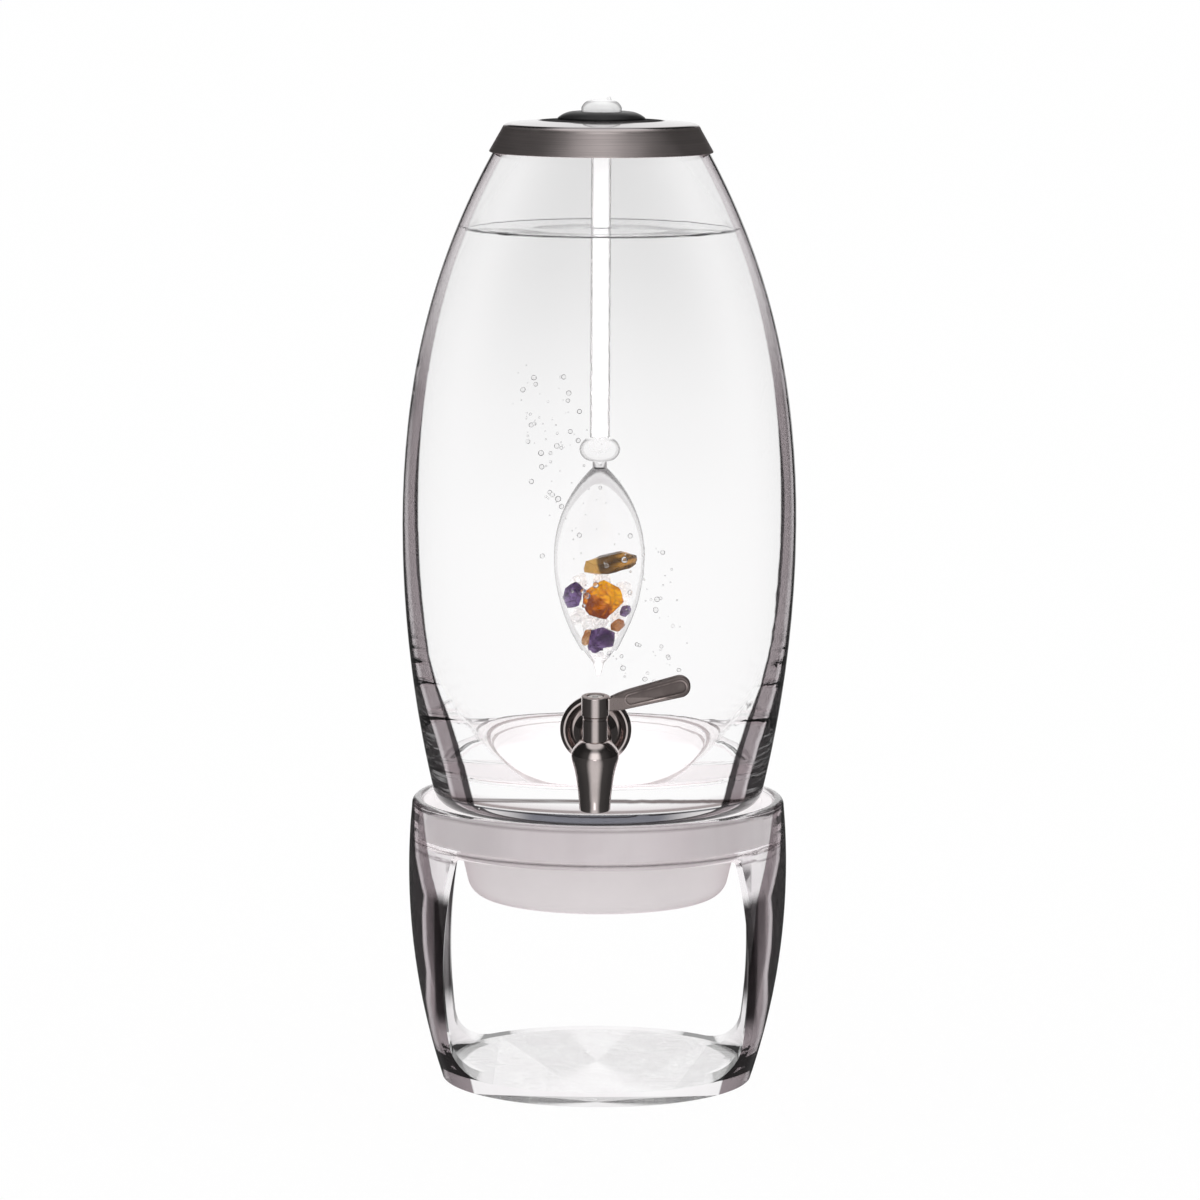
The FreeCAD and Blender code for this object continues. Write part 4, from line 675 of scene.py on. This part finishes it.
def weathered_stones(name, node, bevel, step, pits, grain, seed):
    """The stones of a CAD node again, with rounded edges and a surface worn back unevenly.
    Lengths in metres."""
    bm = bmesh.new()
    bm.from_mesh(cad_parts[node].data)
    bmesh.ops.remove_doubles(bm, verts=bm.verts, dist=0.01 * MM)
    bmesh.ops.recalc_face_normals(bm, faces=bm.faces)
    bmesh.ops.dissolve_limit(bm, angle_limit=math.radians(2.0), verts=bm.verts, edges=bm.edges)
    bmesh.ops.bevel(bm, geom=bm.edges[:], offset=bevel, segments=3, profile=0.5,
                    affect="EDGES", clamp_overlap=True)
    bmesh.ops.triangulate(bm, faces=bm.faces)
    for _ in range(MOST_SPLITS):
        long = [edge for edge in bm.edges if edge.calc_length() > step]
        if not long:
            break
        bmesh.ops.subdivide_edges(bm, edges=long, cuts=1)
        bmesh.ops.triangulate(bm, faces=bm.faces)
    bmesh.ops.remove_doubles(bm, verts=bm.verts, dist=0.02 * MM)
    bm.normal_update()
    shift = Vector((seed * 3.7, seed * 1.9, seed * 5.3))
    for vert in bm.verts:
        worn = noise.fractal(vert.co * grain + shift, 0.8, 2.2, 5)
        vert.co -= vert.normal * pits * min(1.0, max(0.0, 0.5 + 0.5 * worn))
    piece = solid_mesh(name, bm, smooth=True)
    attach(piece, "lid")
    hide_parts(node)
    return piece


def banded_stone(name, tan, dark, gold):
    """Tiger eye: a silky tan end, a dark brown middle, and golden bands towards the other end."""
    tree = Material(name)
    turn = (0.25, 0.35, -0.2)
    where = tree.place(turn=turn)
    wave = tree.add("ShaderNodeTexWave", {
        "Vector": where, "Scale": 55.0, "Distortion": 3.2, "Detail": 3.0, "Detail Scale": 1.4},
        wave_type="BANDS", bands_direction="Z").outputs["Fac"]
    fibre = tree.noise(tree.place(turn=turn, scale=(900, 900, 120)), 1.0)
    patch = tree.noise(where, 75.0, detail=3.0)
    halfway = tuple(0.5 * (a + b) for a, b in zip(dark, gold))
    shade = tree.ramp(tree.plus(tree.times(wave, 0.34), tree.times(patch, 0.66)), (
        (0.22, dimmed(dark, 0.5)), (0.42, dark), (0.56, halfway), (0.68, gold),
        (0.85, (0.66, 0.36, 0.10))))
    shade = tree.mix(tree.between(fibre, 0.35, 0.75, 0.0, 0.4), shade, gold)
    across = tree.plus(tree.parts(tree.place())[0], tree.times(tree.minus(patch, 0.5), 0.012))
    shade = tree.mix(tree.between(across, 0.016, 0.008, 0.0, 0.85), shade, dimmed(dark, 1.2))
    pale = tree.mix(tree.between(fibre, 0.3, 0.7), dimmed(tan, 0.75), tan)
    return tree.finish(tree.principled(
        Base_Color=tree.mix(tree.between(across, -0.002, 0.001), pale, shade),
        Roughness=tree.between(fibre, 0.3, 0.7, 0.18, 0.34), Specular_IOR_Level=0.05,
        Normal=tree.bump(fibre, 0.3, 0.0004)))


def crystal_stone(name, shades, scale, glow, roughness, sweep=None):
    """A coloured crystal of deep, body and pale shades: clouds, dark cracks, glassy skin.
    With a sweep it goes from deep at the lower left to pale at the upper right of that point."""
    deep, body, pale = shades
    tree = Material(name)
    where = tree.place()
    cloud = tree.noise(where, scale, detail=5.0, rough=0.6, distortion=0.7)
    if sweep is not None:
        cloud = tree.plus(cloud, tree.dot(tree.from_point(where, sweep), (10.0, 0.0, 14.0)))
    crack = tree.add("ShaderNodeTexVoronoi", {"Vector": where, "Scale": scale * 1.6},
                     feature="DISTANCE_TO_EDGE").outputs["Distance"]
    shade = tree.ramp(cloud, ((0.38, deep), (0.49, body), (0.58, pale), (0.64, body), (0.74, pale)))
    shade = tree.mix(tree.between(crack, 0.06, 0.0, 0.0, 0.7), shade, deep)
    chips = tree.noise(where, scale * 4.5)
    facets = tree.add("ShaderNodeTexVoronoi", {
        "Vector": where, "Scale": scale * 3.0}).outputs["Distance"]
    height = tree.plus(tree.times(facets, 1.2), tree.times(chips, 0.5))
    return tree.finish(tree.principled(
        Base_Color=shade, Roughness=tree.between(chips, 0.3, 0.75, roughness, roughness + 0.2),
        # A faint painted glow in the crystal's own colours.
        IOR=1.5, Specular_IOR_Level=0.0, Emission_Color=shade, Emission_Strength=glow,
        Normal=tree.bump(height, 0.6, 0.0014)))


def clear_chips(name, body):
    """Clear quartz with milky veils that carry a painted glow."""
    tree = Material(name)
    veil = tree.noise(tree.place(), 130.0, detail=5.0, rough=0.65, distortion=0.8)
    milky = tree.between(veil, 0.42, 0.62)
    return tree.finish(tree.principled(
        Base_Color=tree.mix(milky, (0.97, 0.965, 0.97), body),
        Roughness=tree.between(veil, 0.3, 0.7, 0.03, 0.22), IOR=1.54,
        # The painted glow grows with the milky veils.
        Specular_Tint=(0.5, 0.5, 0.5), Emission_Color=(1.0, 0.98, 0.97),
        Transmission_Weight=tree.between(milky, 0.0, 1.0, 0.8, 0.3),
        Emission_Strength=tree.between(milky, 0.0, 1.0, 0.05, 0.3),
        Normal=tree.bump(veil, 0.3, 0.0006)))


# Water line and bubbles

TUBE_RADIUS = 5.8 * MM
GAP_AT_TUBE, GAP_AT_WALL = 0.15 * MM, 0.25 * MM
MENISCUS_REACH = 2.4 * MM
MENISCUS_STEPS = 14
WATER_SEGMENTS = 160
# Where the bubbles are: heights, reach from the axis, and the turn they follow upwards.
CLOUD = {
    "Lowest": 0.236, "Highest": 0.418, "Nearest": 0.0295, "Furthest": 0.052,
    "Start": math.radians(-15), "Turn": math.radians(-150)}


def lathe(name, profile, segments):
    """A closed profile of (radius, height) pairs turned about the axis, with faces outwards."""
    bm = bmesh.new()
    rings = []
    for index in range(segments):
        angle = 2.0 * math.pi * index / segments
        rings.append([bm.verts.new((r * math.cos(angle), r * math.sin(angle), z))
                      for r, z in profile])
    for index, ring in enumerate(rings):
        following = rings[(index + 1) % segments]
        for step in range(len(profile)):
            ahead = (step + 1) % len(profile)
            bm.faces.new((ring[step], following[step], following[ahead], ring[ahead]))
    return solid_mesh(name, bm, smooth=True)


def inner_radius(node, height):
    """Radius of the inside of a round CAD node at a height, read from its own surface."""
    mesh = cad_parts[node].data
    found = {}
    for face in mesh.polygons:
        middle = face.center
        if face.normal.x * middle.x + face.normal.y * middle.y < 0.0:
            for index in face.vertices:
                at = mesh.vertices[index].co
                found[round(at.z, 5)] = math.hypot(at.x, at.y)
    below = max(z for z in found if z <= height)
    above = min(z for z in found if z > height)
    share_up = (height - below) / (above - below)
    return found[below] + (found[above] - found[below]) * share_up


def water_profile(level, film, inner, outer):
    """The skin of the water: level in the middle, drawn up the tube and up the wall."""
    rise, half = 0.8 * film, 0.5 * (outer - inner)
    top = []
    for index in range(MENISCUS_STEPS + 1):
        radius = inner + half * (index / MENISCUS_STEPS) ** 2
        top.append((radius, level + rise * math.exp((inner - radius) / MENISCUS_REACH)))
    for index in reversed(range(MENISCUS_STEPS)):
        radius = outer - half * (index / MENISCUS_STEPS) ** 2
        top.append((radius, level + rise * math.exp((radius - outer) / MENISCUS_REACH)))
    base = level - 0.25 * film
    return top + [(outer, base), (inner, base)]


def water_skin(name):
    """The water seen through the wall: clear skin, and a dark line painted where it meets the
    glass, as painted shade of the meniscus.
    """
    tree = Material(name)
    normal = tree.add("ShaderNodeNewGeometry").outputs["Normal"]
    upright = tree.size(tree.parts(normal)[2])
    ripple = tree.noise(tree.place(), 60.0, detail=2.0)
    # Painted shade: the steep skin at the tube and at the wall is near black.
    shade = tree.mix(tree.between(upright, 0.25, 0.6), (0.012, 0.012, 0.013), (0.97, 0.97, 0.975))
    surface = tree.principled(
        Base_Color=shade, Roughness=tree.between(ripple, 0.3, 0.7, 0.0, 0.02), IOR=1.04,
        Transmission_Weight=0.9, Normal=tree.bump(ripple, 0.05, 0.001))
    return tree.finish(tree.lit_through(surface, 1.0))


def air_bubble(name):
    """An air bubble under water: clear in the middle, with parts of a painted dark ring in place of
    the shade at its rim.
    """
    tree = Material(name)
    speck = tree.noise(tree.place(), 330.0, detail=1.0)
    # Painted shade round the rim, broken up by specks.
    ring = tree.times(tree.between(tree.turned_away(), 0.26, 0.52),
                      tree.between(speck, 0.42, 0.52, 0.25, 1.0))
    return tree.finish(tree.principled(
        Base_Color=tree.mix(ring, (0.97, 0.97, 0.97), (0.015, 0.015, 0.016)),
        Roughness=tree.between(speck, 0.3, 0.7, 0.0, 0.05), IOR=1.12, Transmission_Weight=0.92))


class Geometry(Tree):
    """A geometry node group with named inputs."""

    def __init__(self, name, sockets):
        super().__init__(bpy.data.node_groups.new(name, "GeometryNodeTree"))
        new_socket = self.tree.interface.new_socket
        new_socket("Geometry", in_out="OUTPUT", socket_type="NodeSocketGeometry")
        self.sockets = {
            label: new_socket(label, in_out="INPUT", socket_type=kind).identifier
            for label, kind in sockets}
        self.given = self.tree.nodes.new("NodeGroupInput").outputs
        self.out = self.tree.nodes.new("NodeGroupOutput")

    def random(self, low, high, seed):
        return self.add("FunctionNodeRandomValue", {"Seed": seed, 2: low, 3: high},
                        data_type="FLOAT").outputs[1]

    def plain_mesh(self, name, values):
        """Runs the group on an empty mesh and keeps what it makes as a plain mesh."""
        carrier = bpy.data.objects.new(name, bpy.data.meshes.new(name + "_start"))
        bpy.context.scene.collection.objects.link(carrier)
        modifier = carrier.modifiers.new(name, "NODES")
        modifier.node_group = self.tree
        for label, value in values.items():
            modifier[self.sockets[label]] = value
        bpy.context.view_layer.update()
        evaluated = carrier.evaluated_get(bpy.context.evaluated_depsgraph_get())
        made = bpy.data.meshes.new_from_object(evaluated)
        carrier.modifiers.remove(modifier)
        carrier.data = made
        return carrier


def bubble_cloud():
    """Bubbles in a loose turn round the wand, most of them small."""
    numbers = ("Largest", "Lowest", "Highest", "Nearest", "Furthest", "Start", "Turn")
    tree = Geometry("bubble_cloud", (
        ("Count", "NodeSocketInt"), *((label, "NodeSocketFloat") for label in numbers),
        ("Material", "NodeSocketMaterial")))
    given = tree.given
    share_up = tree.random(0.0, 1.0, 11)
    span = tree.minus(given["Highest"], given["Lowest"])
    height = tree.plus(given["Lowest"], tree.times(share_up, span))
    angle = tree.plus(given["Start"], tree.times(share_up, given["Turn"]))
    angle = tree.plus(angle, tree.times(tree.random(-1.0, 1.0, 23), 0.9))
    reach = tree.random(given["Nearest"], given["Furthest"], 5)
    points = tree.add("GeometryNodePoints", {"Count": given["Count"], "Position": tree.combine(
        tree.times(reach, tree.math("COSINE", angle)), tree.times(reach, tree.math("SINE", angle)),
        height)}).outputs[0]
    small = tree.math("POWER", tree.random(0.0, 1.0, 37), 3.0)
    size = tree.times(given["Largest"], tree.plus(0.22, tree.times(0.78, small)))
    ball = tree.add("GeometryNodeMeshIcoSphere", {"Radius": 1.0, "Subdivisions": 2}).outputs["Mesh"]
    made = tree.add("GeometryNodeInstanceOnPoints", {
        "Points": points, "Instance": ball, "Scale": size}).outputs["Instances"]
    for step in ("RealizeInstances", "SetShadeSmooth"):
        made = tree.add("GeometryNode" + step, {"Geometry": made}).outputs["Geometry"]
    made = tree.add("GeometryNodeSetMaterial", {
        "Geometry": made, "Material": given["Material"]}).outputs["Geometry"]
    tree.put(tree.out.inputs["Geometry"], made)
    return tree


# Stage

# In degrees round the axis from straight behind the dispenser: the middle of each soft box,
# half its width and the softness of its edge, then its strength.
SOFT_BOXES = ((0, 9, 7, 1.0), (180, 8, 30, 1.5), (180, 30, 60, 0.05))
# The patch of light in front on the floor: its two ends and how far it spreads to the sides.
PATCH_NEAR, PATCH_FAR, PATCH_SPREAD = (-1.3, -1.4), (-4.2, -3.8), (0.13, 0.10)
PATCH_LIGHT = 1.4
FLOOR_RADIUS = 30.0
FOCAL_LENGTH, SENSOR_WIDTH, FRAME_PIXELS = 168.0, 36.0, 1200.0
CAMERA_AROUND, CAMERA_DOWN, CAMERA_ROLL = 0.75, 7.55, 0.3
CAMERA_PLACE = (0.0, -3.2476, 0.7129)


def soft_boxes(tree, x, y):
    """What a reflection sees all round: soft boxes in front and behind, dark between them."""
    around = tree.size(tree.math("ARCTAN2", x, y))
    level = 0.0
    for middle, half, soft, strength in SOFT_BOXES:
        level = tree.larger(level, tree.near(
            around, math.radians(middle), math.radians(half + soft), math.radians(half), strength))
    return level


def white_world(settings):
    """White for the camera and through glass; reflections see soft boxes between dark flags."""
    world = bpy.data.worlds.new("studio")
    bpy.context.scene.world = world
    world.use_nodes = True
    world.node_tree.nodes.clear()
    tree = Tree(world.node_tree)
    rays = tree.rays()
    x, y, z = tree.parts(tree.add("ShaderNodeTexCoord").outputs["Generated"])
    studio = tree.times(soft_boxes(tree, x, y), tree.between(z, 0.80, 0.60, 0.3, 1.0))
    studio = tree.larger(studio, tree.between(z, 0.80, 0.90, 0.0, 0.9))
    studio = tree.plus(0.02, tree.times(studio, 0.98))
    strength = tree.mix_number(rays["Is Glossy Ray"], settings.light, studio)
    seen = tree.larger(rays["Is Camera Ray"], rays["Is Transmission Ray"])
    background = tree.add("ShaderNodeBackground", {
        "Color": (1.0, 1.0, 1.0), "Strength": tree.mix_number(seen, strength, 1.0)})
    tree.add("ShaderNodeOutputWorld", {"Surface": background.outputs["Background"]})


def pale_floor(settings):
    """A white floor that keeps the shadow; reflections see the soft boxes' light on it."""
    bm = bmesh.new()
    bmesh.ops.create_circle(bm, cap_ends=True, radius=FLOOR_RADIUS, segments=96)
    floor = solid_mesh("floor", bm)
    tree = Material("floor_paper")
    rays = tree.rays()
    x, y, _ = tree.parts(tree.where())
    patch = tree.times(tree.between(y, *PATCH_NEAR), tree.between(y, *PATCH_FAR),
                       tree.between(tree.size(tree.math("DIVIDE", x, y)), *PATCH_SPREAD))
    boxes = tree.plus(0.04, tree.times(soft_boxes(tree, x, y), 0.55))
    boxes = tree.plus(boxes, tree.times(patch, PATCH_LIGHT))
    matt = tree.add("ShaderNodeBsdfDiffuse", {"Color": settings.floor[:]}).outputs["BSDF"]
    glow = tree.add("ShaderNodeEmission", {"Strength": 1.0}).outputs["Emission"]
    lit = tree.add("ShaderNodeEmission", {"Strength": boxes}).outputs["Emission"]
    seen = tree.larger(rays["Is Camera Ray"], rays["Is Transmission Ray"])
    surface = tree.mix_shader(tree.times(seen, settings.glow), matt, glow)
    mirrored = tree.times(rays["Is Glossy Ray"], tree.minus(1.0, rays["Is Transmission Ray"]))
    surface = tree.mix_shader(tree.times(mirrored, 0.985), surface, lit)
    floor.data.materials.append(tree.finish(surface))


def add_camera():
    data = bpy.data.cameras.new("camera")
    data.lens = FOCAL_LENGTH
    data.sensor_width = SENSOR_WIDTH
    data.shift_x = 1.0 / FRAME_PIXELS
    data.clip_end = 100.0
    holder = bpy.data.objects.new("camera", data)
    around = Matrix.Rotation(math.radians(CAMERA_AROUND), 4, "Z")
    tilt = Matrix.Rotation(math.radians(90.0 - CAMERA_DOWN), 4, "X")
    roll = Matrix.Rotation(math.radians(CAMERA_ROLL), 4, "Z")
    holder.matrix_world = around @ Matrix.Translation(CAMERA_PLACE) @ (tilt @ roll)
    bpy.context.scene.collection.objects.link(holder)
    bpy.context.scene.camera = holder


# Operators

class DISPENSER_OT_glass(bpy.types.Operator):
    """Finish the vessel, the stand, the bowl and the wand"""
    bl_idname = "dispenser.glass"
    bl_label = "Glass"

    def execute(self, context):
        settings = context.scene.dispenser_glass
        # The tones of the painted outline and band of the glass.
        tones = {name: getattr(settings, name)[:]
                 for name in ("clear", "light", "band", "pale", "dark")}
        tones["inner"] = dimmed(tones["dark"], 3.0)
        dress("vessel", vessel_glass("vessel_glass", tones))
        dress("stand", stand_glass("stand_glass", tones))
        dress("support_bowl", frosted_glass("bowl_glass", settings.frosted[:]))
        dress("wand_glass", blown_glass("blown_glass", {**tones, **WAND_TONES}))
        return {"FINISHED"}


class DISPENSER_OT_lid(bpy.types.Operator):
    """Finish the lid, its seal and its stopper"""
    bl_idname = "dispenser.lid"
    bl_label = "Lid"

    def execute(self, context):
        settings = context.scene.dispenser_metal
        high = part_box("lid_shell")[1]
        dress("lid_shell", spun_steel("lid_steel", settings.skirt[:], settings.crown[:],
                                      high[2] - CROWN_THICKNESS))
        dress("wand_stopper", rubber("stopper_rubber", settings.rubber[:], 0.32))
        dress("lid_seal", rubber("seal_silicone", (0.55, 0.55, 0.54), 0.4))
        return {"FINISHED"}


class DISPENSER_OT_tap(bpy.types.Operator):
    """Finish the tap and its seals"""
    bl_idname = "dispenser.tap"
    bl_label = "Tap"

    def execute(self, context):
        settings = context.scene.dispenser_metal
        steel = polished_steel("tap_steel", settings.tap[:])
        for name in ("tap_body", "tap_flange", "shank_washer", "shank_nut", "bonnet_nut",
                     "stop_pin", "valve_plug"):
            dress(name, steel)
        dress("lever", lever_steel("lever_steel", settings.tap[:], settings.lever[:]))
        dress("lever_screw", polished_steel("screw_steel", (0.88, 0.87, 0.86), 0.45))
        seal = rubber("gasket_silicone", (0.42, 0.41, 0.41), 0.4)
        dress("outer_gasket", seal)
        dress("inner_gasket", seal)
        dress("plug_seal_rings", rubber("ring_rubber", settings.rubber[:], 0.4))
        dress("stem_washer", rubber("washer_plastic", (0.7, 0.7, 0.68), 0.45))
        return {"FINISHED"}


class DISPENSER_OT_stones(bpy.types.Operator):
    """Model the stones of the vial again, with worn surfaces"""
    bl_idname = "dispenser.stones"
    bl_label = "Stones"

    def execute(self, context):
        colours = context.scene.dispenser_stone
        amethyst = colours.amethyst[:]
        low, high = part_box("citrine")
        middle = tuple(0.5 * (a + b) for a, b in zip(low, high))
        finishes = {
            "tiger_eye": banded_stone("tiger_eye_stone", colours.tiger_tan[:],
                                      colours.tiger_dark[:], colours.tiger_gold[:]),
            "citrine": crystal_stone("citrine_stone", (
                (0.20, 0.034, 0.0008), colours.citrine[:], (0.93, 0.44, 0.004)),
                120.0, 0.08, 0.10, middle),
            "amethyst_stones": crystal_stone("amethyst_stone", (
                dimmed(amethyst, 0.4), amethyst, (0.24, 0.15, 0.36)), 90.0, 0.04, 0.14),
            "jasper_slivers": crystal_stone("jasper_stone", (
                (0.40, 0.13, 0.03), colours.jasper[:], (0.85, 0.55, 0.30)), 110.0, 0.05, 0.22),
            "quartz_chips": clear_chips("quartz_stone", colours.quartz[:]),
        }
        for seed, (node, (slot, *lengths, grain)) in enumerate(STONES.items(), 1):
            bevel, step, pits = (length * MM for length in lengths)
            piece = weathered_stones(node + "_worn", node, bevel, step, pits, grain, seed)
            piece.data.materials.append(finishes[node])
        return {"FINISHED"}


class DISPENSER_OT_water(bpy.types.Operator):
    """Add the water line and the air bubbles round the wand"""
    bl_idname = "dispenser.water"
    bl_label = "Water"

    def execute(self, context):
        settings = context.scene.dispenser_water
        inner = TUBE_RADIUS + GAP_AT_TUBE
        outer = inner_radius("vessel", settings.level) - GAP_AT_WALL
        profile = water_profile(settings.level, settings.film, inner, outer)
        skin = lathe("water_line", profile, WATER_SEGMENTS)
        skin.data.materials.append(water_skin("water_surface"))
        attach(skin, "vessel")
        bubbles = bubble_cloud().plain_mesh("bubbles", {
            "Count": settings.bubbles, "Largest": settings.bubble_size, **CLOUD,
            "Material": air_bubble("bubble_air")})
        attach(bubbles, "vessel")
        return {"FINISHED"}


class DISPENSER_OT_stage(bpy.types.Operator):
    """Set up the floor, the light and the camera"""
    bl_idname = "dispenser.stage"
    bl_label = "Stage"

    def execute(self, context):
        settings = context.scene.dispenser_stage
        white_world(settings)
        pale_floor(settings)
        add_camera()
        context.scene.view_settings.view_transform = "Standard"
        for kind in ("max", "glossy", "transmission"):
            setattr(context.scene.cycles, kind + "_bounces", settings.bounces)
        return {"FINISHED"}


class DISPENSER_PT_panel(bpy.types.Panel):
    """Steps that dress the dispenser, and their settings"""
    bl_label = "Dispenser"
    bl_space_type = "VIEW_3D"
    bl_region_type = "UI"
    bl_category = "Dispenser"

    def draw(self, context):
        for step in STEPS:
            self.layout.operator(step.bl_idname)
        for group in GROUPS:
            settings = getattr(context.scene, group)
            for name in settings.__annotations__:
                self.layout.prop(settings, name)


GROUPS = {
    "dispenser_glass": GlassSettings,
    "dispenser_metal": MetalSettings,
    "dispenser_stone": StoneSettings,
    "dispenser_water": WaterSettings,
    "dispenser_stage": StageSettings,
}
STEPS = (DISPENSER_OT_glass, DISPENSER_OT_lid, DISPENSER_OT_tap, DISPENSER_OT_stones,
         DISPENSER_OT_water, DISPENSER_OT_stage)
CLASSES = (*GROUPS.values(), *STEPS, DISPENSER_PT_panel)


def register():
    for cls in CLASSES:
        bpy.utils.register_class(cls)
    for name, group in GROUPS.items():
        setattr(bpy.types.Scene, name, PointerProperty(type=group))


def unregister():
    for name in GROUPS:
        delattr(bpy.types.Scene, name)
    for cls in reversed(CLASSES):
        bpy.utils.unregister_class(cls)


def main():
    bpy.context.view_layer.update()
    register()
    for step in STEPS:
        section, name = step.bl_idname.split(".")
        getattr(getattr(bpy.ops, section), name)()


if __name__ == "__main__":
    main()
